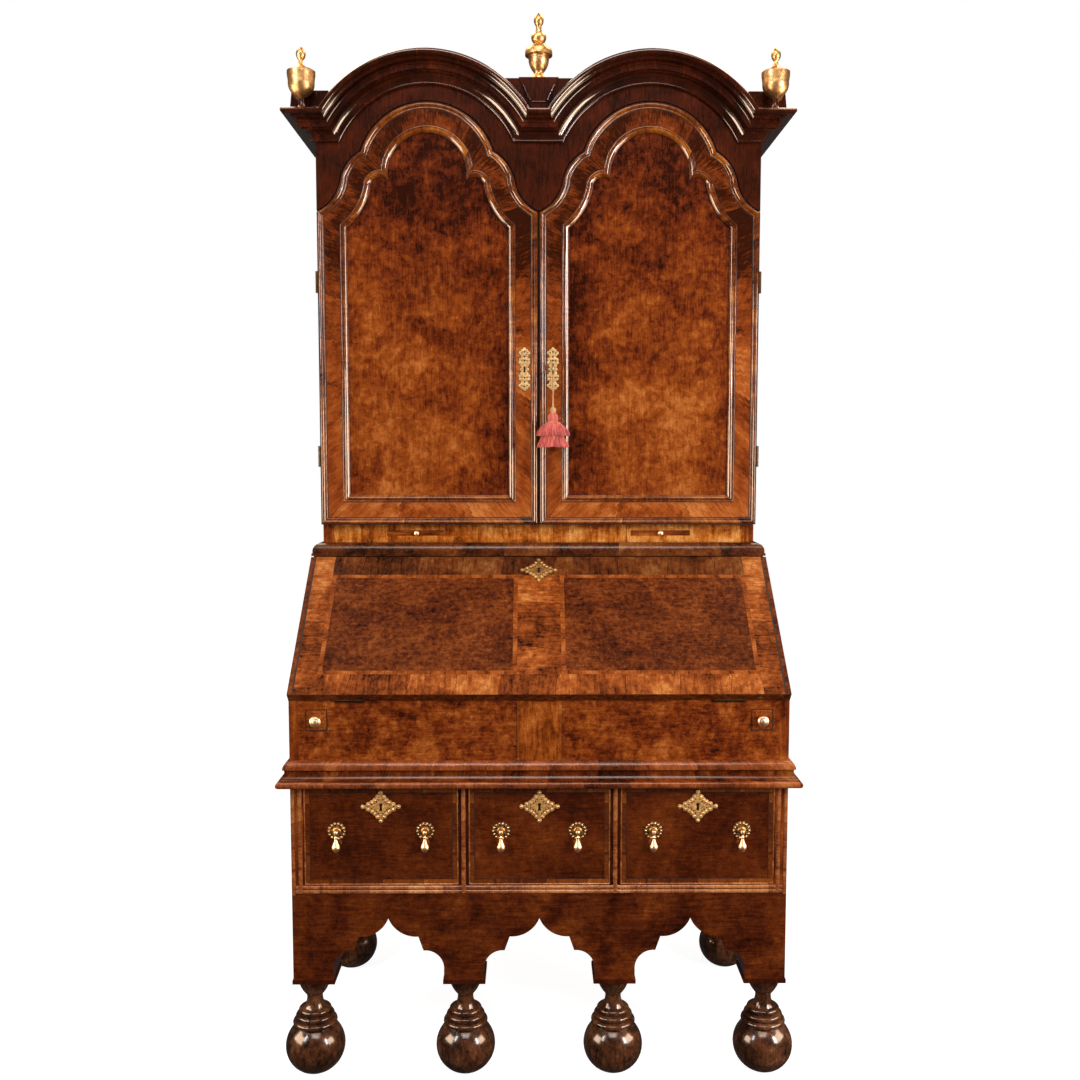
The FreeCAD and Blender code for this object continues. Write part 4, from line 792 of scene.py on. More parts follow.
def finial_turning(node, steps, start=0):
    """Turned grids from shares of a finial's radius and height, standing where its solid stands."""
    low, high = lowest[node], highest[node]
    radius, height = (high[1] - low[1]) / 2, high[2] - low[2]
    profile = draw((0, start * height), sized(steps, radius, height), count=15)
    xs = {(low[0] + radius).round(6), (high[0] - radius).round(6)}
    return [turned(profile, (x, low[1] + radius, low[2]), 48) for x in sorted(xs)]


centre_urn = [(0.54, 0), ((0.5, 0.045), (0.36, 0.08)), (0.34, 0.11), (0.42, 0.13),
              ((0.66, 0.215), (0.75, 0.345)), (1, 0.362), (1, 0.395), ((0.86, 0.475), (0.36, 0.522)),
              (0.29, 0.54), ((0.54, 0.61), (0.48, 0.68)), (0.24, 0.705), (0.2, 0.75), (0.2, 0.8),
              ((0.36, 0.885), (0.13, 0.98)), (0, 1)]
corner_urn = [(0.17, 0.2), (0.26, 0.22), ((0.78, 0.31), (0.93, 0.46)), (1, 0.56), (1, 0.615), (0.86, 0.635),
              ((0.45, 0.665), (0.25, 0.71)), (0.14, 0.765), (0.14, 0.79), ((0.34, 0.885), (0.12, 0.98)),
              (0, 1)]
corner_foot = [(0.46, 0), (0.46, 0.03), ((0.28, 0.08), (0.2, 0.15)), (0.18, 0.205), (0, 0.205)]
for node, steps, start in (("centre_finial", centre_urn, 0), ("corner_finials", corner_urn, 0.2)):
    make_piece(node + "_turned", finial_turning(node, steps, start), "carcass", gilt, node=node,
               sharp=50)
make_piece("corner_finial_feet", finial_turning("corner_finials", corner_foot), "carcass",
           veneer["dark"], sharp=50)
print("finials on", cornice_top)

# %% Corner blocks
cap_inner, cap_outer, cap_lean, cap_rise = -30 * MM, 53 * MM, 5 * MM, 49 * MM
cap_front, cap_back = door_y - 7.5 * MM, door_y + 67 * MM
caps = []
for side in SIDES:
    inner, outer = side * (half_cabinet + cap_inner), side * (half_cabinet + cap_outer)
    level = np.array([(inner, cap_front), (outer, cap_front), (outer, cap_back), (inner, cap_back)])
    lean = np.array([(0, 0), (-side * cap_lean, 0), (-side * cap_lean, 0), (0, 0)])
    base = np.insert(level, 2, cornice_top, axis=1)
    top = np.insert(level + lean, 2, cornice_top + cap_rise, axis=1)
    caps.append((np.stack([base, top, np.tile(top.mean(0), (4, 1))]), False, True))
make_piece("corner_blocks", caps, "carcass", veneer["dark"])
print("corner blocks", len(caps))

# %% [markdown]
# ## Cornice
# The cornice is a bead, a cove, a fascia, another bead, a hollow and a bold half round. It runs along both
# sides, mitres at the corners, and springs over each door in an arch. Every line of the profile follows the
# same path: level stretches at its own height, and arches at its own radius, so the mitres come out by
# themselves.

# %% Cornice moulding
cornice_height = cornice_top - cornice_z
arch_half_chord = 187.5 * MM
arch_radius = (arch_half_chord**2 + cornice_rise**2) / (2 * cornice_rise)
arch_z = cornice_z + cornice_rise - arch_radius
cornice_shares = [((0.13, 0.05), (0.08, 0.1)), ((0.16, 0.27), (0.4, 0.36)), (0.4, 0.42), (0.52, 0.42),
                  (0.52, 0.58), ((0.57, 0.63), (0.52, 0.68)), (0.52, 0.71), ((0.66, 0.73), (0.72, 0.79)),
                  (0.86, 0.8), ((1, 0.9), (0.88, 1)), (0, 1), (0, 0)]
cornice_steps = sized(cornice_shares, cornice_projection, cornice_height)
cornice_line = draw((0.08 * cornice_projection, 0), cornice_steps, 11)
d, h = cornice_line[:, :1], cornice_line[:, 1:]
spring = np.arcsin((cornice_z + h - arch_z) / (arch_radius + h))
sweep = spring + (np.pi - 2 * spring) * np.linspace(1, 0, 61)
arch_run = np.stack([(arch_radius + h) * np.cos(sweep), 0 * sweep + door_y - d,
                     arch_z + (arch_radius + h) * np.sin(sweep)], axis=-1)
side_run = np.stack([np.concatenate([-half_cabinet - d] * 2, axis=1),
                     np.concatenate([0 * d + back_y, door_y - d], axis=1),
                     np.concatenate([cornice_z + h] * 2, axis=1)], axis=-1)
end_point = np.broadcast_to((-half_cabinet, back_y, cornice_z + cornice_height / 2), (len(d), 1, 3))
cornice_grid = np.concatenate([end_point, side_run, arch_run - (door_x, 0, 0), arch_run + (door_x, 0, 0),
                               side_run[:, ::-1] * (-1, 1, 1), end_point * (-1, 1, 1)], axis=1)
make_piece("cornice_moulding", [(cornice_grid, True, False)], "carcass", veneer["cornice"],
           node="cornice")
print("cornice", cornice_grid.shape)

# %% [markdown]
# ## Block between the arches
# A dark block fills the valley of the double arch. The trapezoid in front of it carries the middle finial,
# and its slanted edges have thin raised fillets that catch the light.

# %% Valley block
block_top = lowest["centre_finial"][2]
plinth_face = lowest["finial_plinths"][1]
outer_radius = arch_radius + cornice_height
valley_half = door_x - math.sqrt(outer_radius**2 - (block_top - arch_z)**2)
sunk, behind_face = 1 * MM, 4 * MM
x = np.linspace(-valley_half, valley_half, 41)
low = np.maximum(arch_z + np.sqrt(outer_radius**2 - (door_x - abs(x))**2), cornice_top) - sunk
high = np.full_like(x, block_top - sunk)
near, far = np.full_like(x, plinth_face + behind_face), np.full_like(x, door_y)
valley_grid = np.stack([np.stack(line, axis=-1) for line in
                        ((x, near, low), (x, near, high), (x, far, high), (x, far, low))])
make_piece("valley_block", [(valley_grid, True, False)], "carcass", veneer["dark"])
print("valley block up to", block_top)


# %% Plinth fillets
def fillet(a, b, width):
    """A thin rounded strip on the plinth's face from a to b, given as x and z, as high as it is wide."""
    a, b = np.array([a[0], 0, a[1]]), np.array([b[0], 0, b[1]])
    across = np.cross(b - a, (0, 1, 0)) / np.linalg.norm(b - a)
    half, root = width / 2, -0.3 * MM
    shape = draw((-half, root), [(-half, half), ((0, width), (half, half)), (half, root)], 7)
    rise = shape[:, :1] * across + shape[:, 1:] * np.array(FRONT) + (0, plinth_face, 0)
    return rise[:, None] + np.array([a, b])[None], False, False


plinth_low, plinth_high = cornice_top + 18 * MM, block_top - 16 * MM
slant_low, slant_high, foot_half, foot_drop = 17 * MM, 32 * MM, 15 * MM, 3 * MM
fillets = [fillet((side * slant_low, plinth_low), (side * slant_high, plinth_high), 4 * MM) for side in SIDES]
fillets.append(fillet((-foot_half, plinth_low - foot_drop), (foot_half, plinth_low - foot_drop), 3 * MM))
make_piece("plinth_fillets", fillets, "carcass", veneer["cornice"], toward=FRONT)
print("fillets", len(fillets))

# %% [markdown]
# ## Waist moulding
# A bead, a hollow and a quarter round hide the joint between the stand and the bureau. They are cross-grain
# walnut, in short lengths that show as fine joints.

# %% Waist moulding
waist_bead = draw((0, 0), [(19, 0), ((24.6, 7), (19, 14)), (18, 14)], 11) * MM
waist_hollow = draw((18, 14), [(18, 16), ((11, 23), (9.4, 35))], 11) * MM
waist_round = draw((9.4, 35), [(12.4, 35.6), ((9, 47), (0, 53))], 13) * MM


def waist_run(profile):
    """Profile of distance from the case and height, carried along its left side, front and right side."""
    d, h = profile[:, :1], profile[:, 1:]
    return np.stack([np.concatenate([-half_case - d, -half_case - d, half_case + d, half_case + d], axis=1),
                     np.concatenate([0 * d + back_y, front_y - d, front_y - d, 0 * d + back_y], axis=1),
                     np.concatenate([bureau_z + h] * 4, axis=1)], axis=-1), False, False


make_piece("waist_rounds", [waist_run(waist_bead), waist_run(waist_round)], "carcass",
           veneer["mould"], node="waist_moulding")
# The hollow is darker: painted shade in the recess.
make_piece("waist_hollow", [waist_run(waist_hollow)], "carcass", veneer["hollow"])
print("waist from", bureau_z)

# %% [markdown]
# ## Doors
# Each door is edged with a double bead, and a wider moulding holds its panel. Both follow the door's
# outline: straight sides, a hollow, a lobe and an arch. Drawn in by a distance, the outline keeps the same
# centres, and only its radii change. Between the two mouldings lies a band of cross-grain veneer.

# %% Door outline
shoulder_share, door_arch_share = 0.5345, 0.434
cove_width_share, cove_rise_share, cove_sag_share = 0.211, 0.234, 0.0334
lobe_width_share, lobe_sag_share = 0.192, 0.0459
shoulder_z = door_head_z - (shoulder_share + door_arch_share) * door_half
cusp_z = shoulder_z + shoulder_share * door_half


def chord_circle(a, b, sag):
    """Centre and radius of the circle through a and b whose arc bulges by sag to the left of the way."""
    a, b = np.array(a), np.array(b)
    chord = np.linalg.norm(b - a)
    radius = (chord**2 / 4 + sag**2) / (2 * abs(sag))
    left = np.array([a[1] - b[1], b[0] - a[0]]) / chord
    return (a + b) / 2 - left * math.copysign(radius - abs(sag), sag), radius


def on_circle(centre, a, b, count):
    """Points of a circle from a to b, the short way round."""
    start, end = (math.atan2(p[1] - centre[1], p[0] - centre[0]) for p in (a, b))
    turn = (end - start + math.pi) % (2 * math.pi) - math.pi
    angle = start + turn * np.linspace(0, 1, count)
    radius = math.dist(a, centre)
    return np.stack([centre[0] + radius * np.cos(angle), centre[1] + radius * np.sin(angle)], axis=-1)


def door_outline(inset, count=15):
    """Outline of a door drawn in by an inset, as x from its middle and z: up the right edge, over, and down.

    The arch and the lobe lose the inset from their radii and the hollow gains it. Where two of them meet, the
    point is worked out from their centres and new radii.
    """
    half_chord = door_half * (1 - cove_width_share - lobe_width_share)
    arch_rise = door_arch_share * door_half
    arch_r = (half_chord**2 + arch_rise**2) / (2 * arch_rise)
    arch = np.array([0, cusp_z + arch_rise - arch_r])
    bend = (half_chord + lobe_width_share * door_half, shoulder_z + cove_rise_share * door_half)
    lobe, lobe_r = chord_circle((half_chord, cusp_z), bend, lobe_sag_share * door_half)
    cove, cove_r = chord_circle(bend, (door_half, shoulder_z), -cove_sag_share * door_half)
    arch_r, lobe_r, cove_r = arch_r - inset, lobe_r - inset, cove_r + inset
    edge = door_half - inset
    corner = np.array([edge, cove[1] - math.sqrt(cove_r**2 - (edge - cove[0])**2)])
    turn = lobe + (cove - lobe) * lobe_r / np.linalg.norm(cove - lobe)
    span = np.linalg.norm(lobe - arch)
    along = (arch_r**2 - lobe_r**2 + span**2) / (2 * span)
    unit = (lobe - arch) / span
    cusp = arch + along * unit + math.sqrt(arch_r**2 - along**2) * np.array([-unit[1], unit[0]])
    right = np.concatenate([[(edge, door_z + inset)], on_circle(cove, corner, turn, count),
                            on_circle(lobe, turn, cusp, count)[1:],
                            on_circle(arch, cusp, (0, arch[1] + arch_r), count)[1:]])
    return np.concatenate([right, right[-2::-1] * (-1, 1)])


def door_run(profile, x):
    """Profile of inset and height above the door's face, carried round a door's outline."""
    rows = [np.insert(door_outline(inset), 1, door_y - proud, axis=1) for inset, proud in profile]
    return np.stack(rows) + (x, 0, 0), False, True


print("door outline", door_outline(0).shape)

# %% [markdown]
# The mouldings stand a few millimetres proud. Dark strips paint the shadow in the quirks, the narrow grooves
# beside each of them, and in the gap round the door.

# %% Door mouldings
edge_bead = draw((1.8, -0.6), [(1.8, 0.8), ((3.2, 3.9), (5.6, 5.2)), ((8.4, 3.9), (10.4, 0.8)), (11, 0.5),
                               (11.3, 1.3), ((12.8, 2.2), (14.4, 1.3)), (14.9, -0.6)], 7) * MM
panel_ogee = draw((50.2, -0.6), [(50.2, 1), ((51.6, 1.9), (53, 1)), (53.4, 0.5), (53.8, 1),
                                 ((56, 4.2), (58.6, 5.8)), ((61.6, 4), (64, 0.6)), (64.8, -0.6),
                                 (64.8, -3.4)], 7) * MM
frame_band = np.array([(14, 0.35), (26, 0.35), (38, 0.35), (51, 0.35)]) * MM
# Painted shadow in the gap round the door, on both sides of the band, and on the panel by its moulding.
door_quirks = np.array([[(0.1, 0.3), (2.4, 0.3)], [(14.6, 0.4), (16.4, 0.4)], [(48.8, 0.4), (50.5, 0.4)],
                        [(63.4, -2.9), (65.2, -2.9)]]) * MM
for hand, side in HANDS:
    door, x = "door_" + hand, side * door_x
    make_piece(door + "_beads", [door_run(edge_bead, x), door_run(panel_ogee, x)], door,
               veneer["bead"], toward=FRONT, node=door + "_mouldings")
    make_piece(door + "_quirks", [door_run(quirk, x) for quirk in door_quirks], door,
               veneer["joint_and_shadow"], toward=FRONT)
    make_piece(door + "_band", [door_run(frame_band, x)], door, veneer["door_band"], toward=FRONT)
print("door mouldings at", door_y)

# %% [markdown]
# ## Fall
# The fall is laid out like a book: two dark burr fields, each inside a feather band, and cross-banded
# borders round both. The border at the top is darker, and a dark quirk of painted shadow runs up each side.
# Places are given on the slope: across the fall, and up from its hinge.

# %% Fall veneers
fall_side, fall_top, fall_foot, fall_middle = 54 * MM, 52 * MM, 49 * MM, 45 * MM
feather, fall_edge, quirk_width = 9 * MM, 9 * MM, 3.2 * MM
veneer_rise, quirk_rise = 0.35 * MM, 0.1 * MM


def on_fall(x, s, proud=veneer_rise):
    """Point on the fall's outer face, x across and s up the slope."""
    return np.array([x, fall_y, fall_z]) + s * slope + (fall_thickness + proud) * slope_out


def fall_patch(xs, s0, s1, proud=veneer_rise):
    """A rectangle of veneer on the fall, between two places across and two up the slope."""
    x0, x1 = sorted(xs)
    return patch(*(on_fall(x, s, proud) for x, s in ((x0, s0), (x1, s0), (x1, s1), (x0, s1))))


inner = half_case - fall_side
quirk_outer = half_case - fall_edge
quirk_inner = quirk_outer - quirk_width
top_low = fall_length - fall_top
field_low, field_high = fall_foot + feather, top_low - feather
fields, feathers, borders, quirks = [], [], [], []
for side in SIDES:
    x0, x1 = sorted((side * (fall_middle + feather), side * (inner - feather)))
    ends = (x0 - feather, x1 + feather)
    fields.append(fall_patch((x0, x1), field_low, field_high))
    feathers += [fall_patch(ends, fall_foot, field_low), fall_patch(ends, field_high, top_low)]
    feathers += [fall_patch(pair, field_low, field_high) for pair in zip((ends[0], x1), (x0, ends[1]))]
    borders.append(fall_patch((side * inner, side * quirk_inner), 0, fall_length))
    # A dark quirk up each side: painted shadow.
    quirks.append(fall_patch((side * quirk_inner, side * quirk_outer), 0, fall_length, quirk_rise))
borders += [fall_patch((-inner, inner), 0, fall_foot),
            fall_patch((-fall_middle, fall_middle), fall_foot, top_low)]
top_border = [fall_patch((-inner, inner), top_low, fall_length)]
for name, patches, slot, finish in (("fall_fields", fields, "burr_walnut", "fall_field"),
                                    ("fall_feather_bands", feathers, "walnut", "feather"),
                                    ("fall_borders", borders, "walnut", "band"),
                                    ("fall_top_border", top_border, "walnut", "top_border"),
                                    ("fall_quirks", quirks, "walnut", "joint_and_shadow")):
    make_piece(name, patches, "fall", veneer[finish], toward=slope_out)
print("fall patches", len(fields) + len(feathers) + len(borders) + len(top_border))

# %% [markdown]
# ## Bureau front and drawers
# The bureau front repeats the fall's plan: a lighter band in the middle and a burr sheet on each side, with
# fine dark joints. The drawers have a narrow cross-banded edge.

# %% Front veneers
veneer_y = front_y - veneer_rise
front_low, front_high = highest["waist_moulding"][2], writing_z - 3 * MM
loper_half = (highest["loper_right"][0] - lowest["loper_right"][0]) / 2
joint_width, joint_rise = 1.1 * MM, 0.05 * MM
loper_shadow_width, loper_gap = 1.6 * joint_width, 0.2 * MM


def front_patch(x0, x1, z0, z1, y=veneer_y):
    """A rectangle of veneer on an upright front."""
    return patch((x0, y, z0), (x1, y, z0), (x1, y, z1), (x0, y, z1))


def frame_strips(x0, x1, z0, z1, width, corner):
    """Four strips inside a rectangle's edges. The upright ones stop a corner's distance short of its ends."""
    ends = (z0 + corner, z1 - corner)
    return [front_patch(x0, x1, z0, z0 + width), front_patch(x0, x1, z1 - width, z1),
            front_patch(x0, x0 + width, *ends), front_patch(x1 - width, x1, *ends)]


joints = [front_patch(x - joint_width / 2, x + joint_width / 2, front_low, front_high, veneer_y - joint_rise)
          for x in (-fall_middle, fall_middle)]
# Dark strips round each loper's opening: painted shadow in the gap round it.
reach = loper_half + loper_gap + loper_shadow_width
for hand, side in HANDS:
    x, _, z = middle["loper_" + hand]
    joints += frame_strips(x - reach, x + reach, z - reach, z + reach, loper_shadow_width, loper_shadow_width)
make_piece("bureau_front_band", [front_patch(-fall_middle, fall_middle, front_low, front_high)], "carcass",
           veneer["front_band"], toward=FRONT)
make_piece("bureau_front_joints_and_shadows", joints, "carcass", veneer["joint_and_shadow"], toward=FRONT)

border, border_gap = 11 * MM, 0.6 * MM
for drawer in DRAWERS:
    (x0, _, z0), (x1, _, z1) = lowest[drawer] + border_gap, highest[drawer] - border_gap
    edges = frame_strips(x0, x1, z0, z1, border, border)
    lines = frame_strips(x0 + border, x1 - border, z0 + border, z1 - border, joint_width, 0)
    make_piece(drawer + "_border", edges, drawer, veneer["drawer_band"], toward=FRONT)
    make_piece(drawer + "_joints", lines, drawer, veneer["joint_and_shadow"], toward=FRONT)
print("front joints", len(joints), "drawer borders", border)

# %% [markdown]
# Half-round beads edge the drawers and cover the dividers, posts and rail round them. A bead is half a
# circle carried along a straight line. The rail below the drawers has two, side by side.


# %% Drawer beads
def half_round(width, height, count=9):
    """Section of a bead, as distance across and height above the face: half an ellipse, a little sunk."""
    angle = np.linspace(math.pi, 0, count)
    return np.stack([width / 2 * np.cos(angle), height * np.sin(angle) - 0.3 * MM], axis=-1)


def straight_bead(start, end, section):
    """Section carried along the front from start to end, each given as x and z."""
    a, b = np.insert(np.array([start, end], dtype=float), 1, front_y, axis=1)
    across = (1.0, 0, 0) if a[0] == b[0] else (0, 0, 1.0)
    rise = section[:, :1] * np.array(across) + section[:, 1:] * np.array(FRONT)
    return rise[:, None] + np.array([a, b])[None], False, False


post_bead, rail_bead = half_round(9 * MM, 4 * MM), half_round(8 * MM, 3 * MM)
cock_bead, cock_inset = half_round(3.2 * MM, 2 * MM), 1.6 * MM
for drawer in DRAWERS:
    (x0, _, z0), (x1, _, z1) = lowest[drawer] + cock_inset, highest[drawer] - cock_inset
    edges = [straight_bead((x, z0), (x, z1), cock_bead) for x in (x0, x1)]
    edges += [straight_bead((x0, z), (x1, z), cock_bead) for z in (z0, z1)]
    make_piece(drawer + "_cock_beads", edges, drawer, veneer["pale_bead"], toward=FRONT)

divider_x = (lowest["drawer_right"][0] + highest["drawer_centre"][0]) / 2
post_x, corner_x = highest["drawer_right"][0] + 8.2 * MM, half_case - 4 * MM
rail_end, bead_lap = half_case - 8 * MM, 2 * MM
rail_heights = (drawer_z - 5 * MM, drawer_z - 14 * MM)
beads = []
for side in SIDES:
    for x, z, section in ((side * divider_x, deck_z + bead_lap, post_bead),
                          (side * post_x, deck_z + bead_lap, post_bead),
                          (side * corner_x, deck_z - bead_lap, rail_bead)):
        beads.append(straight_bead((x, z), (x, bureau_z), section))
beads += [straight_bead((-rail_end, z), (rail_end, z), rail_bead) for z in rail_heights]
make_piece("stand_beads", beads, "carcass", veneer["pale_bead"], toward=FRONT)
print("beads", len(beads))

# %% [markdown]
# ## Pierced brasses
# The plates were cut from sheet brass and pierced. A saw cut leaves round lobes along the edges, so an
# outline here is a chain of circles: each lobe's arc runs between its crossings with its two neighbours.
# Filled curves give the sheet its holes and a softened edge, and their meshes are then carried to their
# places.


# %% Plate outlines
def lobes(centres, radius, count=7):
    """Outer outline of a chain of equal circles whose centres go round anticlockwise."""
    step = np.roll(centres, -1, axis=0) - centres
    gap = np.linalg.norm(step, axis=1, keepdims=True)
    outward = np.stack([step[:, 1], -step[:, 0]], axis=-1) / gap
    crossing = centres + step / 2 + outward * np.sqrt(np.maximum(radius**2 - gap**2 / 4, 0))
    first, last = np.roll(crossing, 1, axis=0) - centres, crossing - centres
    start = np.arctan2(first[:, 1], first[:, 0])[:, None]
    turn = (np.arctan2(last[:, 1], last[:, 0])[:, None] - start) % (2 * np.pi)
    angle = start + turn * np.linspace(0.03, 0.97, count)
    return (centres[:, None] + radius * np.stack([np.cos(angle), np.sin(angle)], axis=-1)).reshape(-1, 2)


def hole(x, z, radius, count=14):
    """A round hole."""
    return np.array([x, z]) + radius * circle(count)


def keyhole(z, radius=2.8 * MM):
    """A round hole over a flared slot."""
    angle = np.linspace(-0.3 * np.pi, 1.3 * np.pi, 15)
    head = np.stack([radius * np.cos(angle), z + radius * np.sin(angle)], axis=-1)
    foot = np.array([(-0.8 * radius, z - 3.4 * radius), (0.8 * radius, z - 3.4 * radius)])
    return np.concatenate([head, foot])


def along_edge(a, b, count):
    """Points from a towards b, without b."""
    return np.array(a) + (np.array(b) - np.array(a)) * np.linspace(0, 1, count, endpoint=False)[:, None]


# %% [markdown]
# Round punched studs stand along the rims and catch the light. Each plate lies on a thin dark sheet: old
# polish gathered round the plate, and painted shadow round its edge and in its holes.

# %% Plate meshes
PLATE, PLATE_EDGE, SHEET, SHEET_EDGE, SHEET_MARGIN = 1.3 * MM, 0.25 * MM, 0.3 * MM, 0.05 * MM, 0.9 * MM


def plate_mesh(outlines, thickness=PLATE, edge=PLATE_EDGE):
    """Points and faces of a flat plate with holes, lying on its own two axes and rising along the third."""
    data = bpy.data.curves.new("plate", "CURVE")
    data.dimensions = "2D"
    data.fill_mode = "BOTH"
    data.extrude = thickness / 2 - edge
    data.bevel_depth = edge
    data.bevel_resolution = 1
    data.offset = -edge
    for line in outlines:
        outline = data.splines.new("POLY")
        outline.points.add(len(line) - 1)
        outline.points.foreach_set("co", np.pad(line, ((0, 0), (0, 2))).ravel())
        outline.use_cyclic_u = True
    points, faces = curve_mesh(data)
    return points + (0, 0, thickness / 2), faces


def grid_part(grid):
    """Points and faces of one grid, to join with plates."""
    return grid[0].reshape(-1, 3), [tuple(face) for face in grid_faces(*grid)[0]]


def studs(places, radius):
    """Low domes on a plate's face, one on each place."""
    foot = 0.9 * MM
    dome = draw((radius, foot), [((0.72 * radius, foot + 0.6 * radius), (0, foot + 0.85 * radius))], 6)
    return [grid_part(turned(dome, (x, z, 0), 12)) for x, z in places]


def placed(parts, centre, axes=FORWARD):
    """Parts carried to their place: their three axes laid along the given ones."""
    return [(points @ axes + np.array(centre), faces) for points, faces in parts]


def make_metalwork(name, parts, body, material, node=None):
    """One object from plates and grids, with their faces turned outwards."""
    points, faces, offset = [], [], 0
    for where, corners in parts:
        points.append(where)
        faces += [tuple(index + offset for index in face) for face in corners]
        offset += len(where)
    mesh = bpy.data.meshes.new(name)
    mesh.from_pydata(np.concatenate(points), [], faces)
    work = bmesh.new()
    work.from_mesh(mesh)
    bmesh.ops.remove_doubles(work, verts=work.verts, dist=0.01 * MM)
    bmesh.ops.recalc_face_normals(work, faces=work.faces)
    work.to_mesh(mesh)
    work.free()
    return dress(name, mesh, body, material, METAL_CREASE, node)


# %% [markdown]
# A drawer has a lozenge round its keyhole, and two round plates with a boss for the drop handles.

# %% Lozenge and round plates
wide, tall, lozenge_lobe, per_side = 36 * MM, 28.5 * MM, 4.9 * MM, 5
tips = [(wide, 0), (0, tall), (-wide, 0), (0, -tall)]
waisting = 1 - 0.22 * np.sin(np.pi * np.linspace(0, 1, per_side, endpoint=False))
rim = np.concatenate([along_edge(a, b, per_side) * waisting[:, None]
                      for a, b in zip(tips, tips[1:] + tips[:1])])
lozenge_holes = [hole(x, z, 1.5 * MM) for x, z in rim * 0.72 if abs(x) > 1 * MM]
lozenge = [plate_mesh([lobes(rim, lozenge_lobe), keyhole(3.5 * MM, 3.6 * MM)] + lozenge_holes)]
lozenge_sheet = [plate_mesh([lobes(rim, lozenge_lobe + SHEET_MARGIN)], SHEET, SHEET_EDGE)]
lozenge_studs = studs(rim, 2.1 * MM)

rim = 15.3 * MM * circle(14)
round_holes = [hole(*point, 1.7 * MM, 10) for point in rim[::2] * 0.74]
round_plate = [plate_mesh([lobes(rim, 3.7 * MM)] + round_holes)]
round_sheet = [plate_mesh([lobes(rim, 4.5 * MM)], SHEET, SHEET_EDGE)]
round_studs = studs(rim, 1.8 * MM)
boss = draw((8.6, 0.8), [((7.4, 3.2), (4.6, 4.2)), (3.4, 4.6), (3.4, 7.6), ((4.9, 10), (3.2, 14)), (0, 15)],
            7) * MM

pin_drop, lozenge_drop = 4.2 * MM, 32 * MM
handle_z = highest["drop_handle_1"][2] - pin_drop
lozenge_z = highest["drawer_left_brasses"][2] - lozenge_drop
handles = [f"drop_handle_{number}" for number in range(1, 7)]
for index, drawer in enumerate(DRAWERS):
    at = (middle[drawer][0], front_y, lozenge_z)
    rounds, dots, sheets = [], placed(lozenge_studs, at), placed(lozenge_sheet, at)
    for handle in handles[2 * index:2 * index + 2]:
        pin = (middle[handle][0], front_y, handle_z)
        rounds += placed(round_plate, pin) + [grid_part(turned(boss, pin, 24, FORWARD))]
        dots += placed(round_studs, pin)
        sheets += placed(round_sheet, pin)
    make_metalwork(drawer + "_round_plates", rounds, drawer, worn, node=drawer + "_brasses")
    make_metalwork(drawer + "_lozenge", placed(lozenge, at), drawer, chased)
    make_metalwork(drawer + "_studs", dots, drawer, brass)
    # Dark sheets under the plates: old polish and painted shadow.
    make_metalwork(drawer + "_plate_sheets", sheets, drawer, veneer["polish_and_shadow"])
print("drawer plates at", lozenge_z, handle_z)

# %% [markdown]
# A drop is one cast pear: an eye for the pin, a thin neck with a collar, and a full round belly.

# %% Drops
drop_line = draw((0, 4.6), [((3.4, 3.2), (3.9, 0)), ((3.4, -3.2), (1.9, -5)), (1.9, -8), (3.3, -9),
                            (3.3, -10.4), (2.3, -11.6), ((3.9, -18), (6.7, -25)),
                            ((8.3, -31), (5.4, -36.6)), ((3, -39.4), (0, -40.4))], 11) * MM
pin_y = front_y - 12 * MM
for handle in handles:
    pear = turned(drop_line, (middle[handle][0], pin_y, handle_z), 32)
    make_piece(handle + "_pear", [pear], handle, brass, node=handle, sharp=60)
print("drops at", pin_y)

# %% [markdown]
# The fall has the same lozenge, laid on its slope. The barrels of its two hinges show at its foot.

# %% Fall plate and hinges
LENGTHWAYS = np.array([(0, 1, 0), (0, 0, 1), (1, 0, 0)])


def hinge_barrel(centre, radius, length, segments, axes=UPRIGHT):
    """A plain cylinder with closed ends, centred on a point."""
    profile = draw((0, -length / 2), [(radius, -length / 2), (radius, length / 2), (0, length / 2)])
    return turned(profile, centre, segments, axes)


fall_axes = np.array([(1, 0, 0), slope, slope_out])
plate_drop, fall_hinge_x = 38 * MM, 378 * MM
at = on_fall(0, fall_length - plate_drop)
make_metalwork("fall_plate", placed(lozenge, at, fall_axes), "fall", worn, node="fall_brasses")
make_metalwork("fall_studs", placed(lozenge_studs, at, fall_axes), "fall", aged)
# Dark sheet under the plate: old polish and painted shadow.
make_metalwork("fall_plate_sheet", placed(lozenge_sheet, at, fall_axes), "fall",
               veneer["polish_and_shadow"])
knuckles = [hinge_barrel((side * fall_hinge_x, fall_y, fall_z), 3.5 * MM, 20.6 * MM, 20, LENGTHWAYS)
            for side in SIDES]
make_piece("fall_knuckles", knuckles, "fall", old_brass)
print("fall plate at", at)

# %% [markdown]
# The door plates are taller: two scrolled ends on a straight body. The doors hang on small barrel hinges.

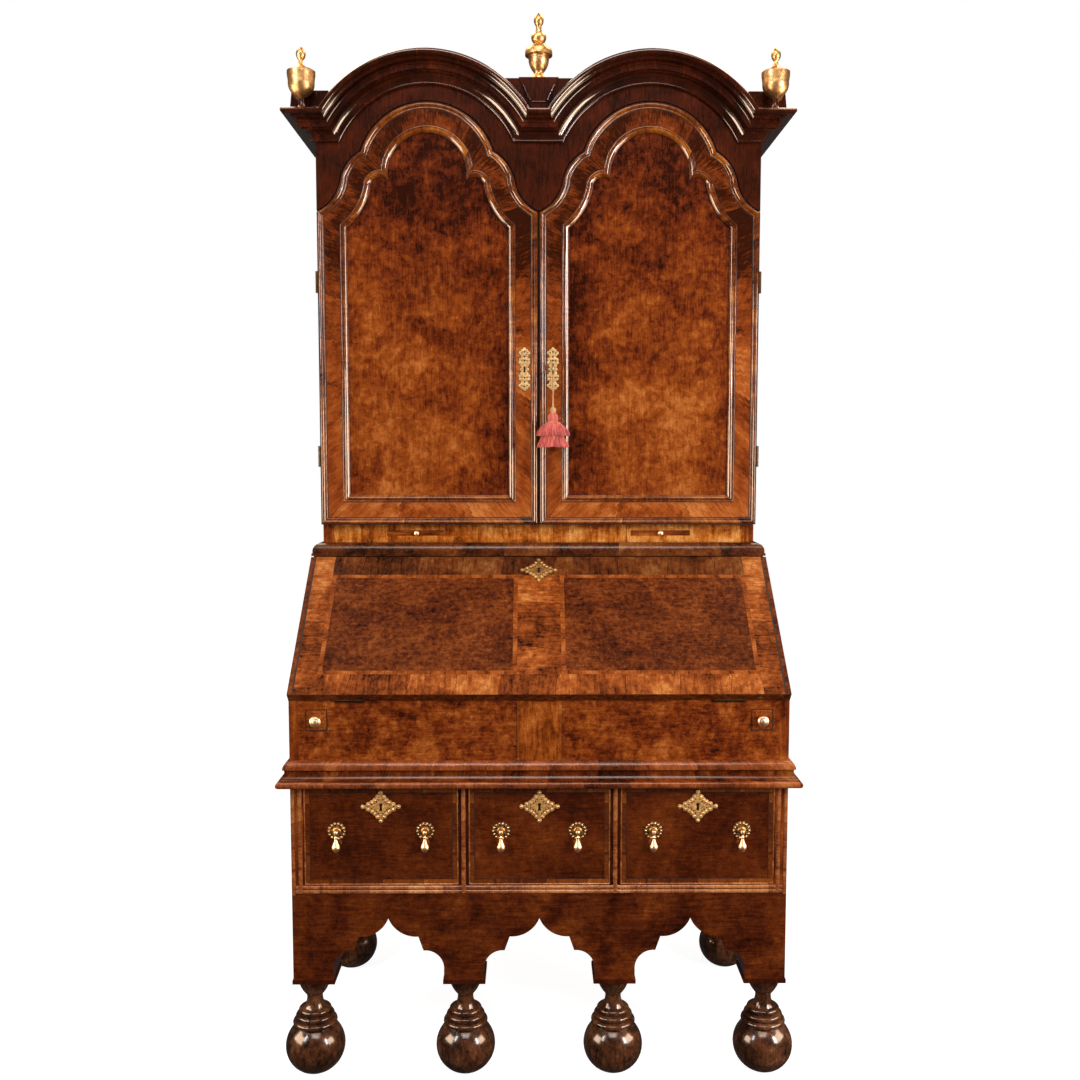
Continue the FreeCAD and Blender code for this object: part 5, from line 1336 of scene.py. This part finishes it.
# %% Door plates and hinges
quarter = [(0, 43.6), (-4.6, 40), (-9.4, 35.4), (-5, 30.8), (-3.4, 25.4), (-8.4, 21), (-9.4, 14.6),
           (-5.6, 8.6)]
left_half = quarter + [(-6.4, 0)] + [(x, -z) for x, z in quarter[::-1]]
rim = np.array(left_half + [(-x, z) for x, z in left_half[-2:0:-1]]) * MM
plate_holes = [hole(0, z * MM, 2 * MM) for z in (37.6, 27.4, 18.6, -18.6, -27.4, -37.6)]
plate_holes += [hole(x * MM, z * MM, 1.5 * MM) for x in (-5.6, 5.6) for z in (35.4, 18, -18, -35.4)]
door_lobe = 3.8 * MM
door_plate = [plate_mesh([lobes(rim, door_lobe), keyhole(3 * MM)] + plate_holes)]
door_sheet = [plate_mesh([lobes(rim, door_lobe + SHEET_MARGIN)], SHEET, SHEET_EDGE)]
hinge_from_end = 150 * MM
hinge_heights = (door_z + hinge_from_end, shoulder_z - hinge_from_end)
for hand, side in HANDS:
    door = "door_" + hand
    at = (side * cord_x, door_y - veneer_rise, middle["key"][2])
    make_metalwork(door + "_plate", placed(door_plate, at), door, aged, node=door + "_brasses")
    # Dark sheet under the plate: old polish and painted shadow.
    make_metalwork(door + "_plate_sheet", placed(door_sheet, at), door, veneer["polish_and_shadow"])
    knuckles = [hinge_barrel((side * half_cabinet, door_y, z), 4.5 * MM, 15.3 * MM, 24)
                for z in hinge_heights]
    make_piece(door + "_knuckles", knuckles, door, old_brass)
print("door plates at", cord_x, middle["key"][2])

# %% [markdown]
# ## Knobs
# The lopers and the candle slides are drawn out by small brass knobs. Each is turned, with a neck and a
# flattened ball, and those of the candle slides are half as large.

# %% Knobs
knob_line = draw((0, 0), [(6.4, 0), (6.4, 1.4), (5.2, 2.6), (4.9, 5), ((11.7, 11), (6.2, 18.8)),
                          ((3, 20.3), (0, 20.6))], 13) * MM
rail_y = lowest["cabinet_base_rail"][1]
knob_kinds = (("loper", front_y, 1, 36), ("candle_slide", rail_y, 0.5, 28))
for hand, _ in HANDS:
    for kind, face_y, size, segments in knob_kinds:
        node = f"{kind}_{hand}"
        x, _, z = middle[node]
        knob = turned(size * knob_line, (x, face_y, z), segments, FORWARD)
        make_piece(node + "_knob", [knob], node, brass)
print("knobs on", front_y, rail_y)
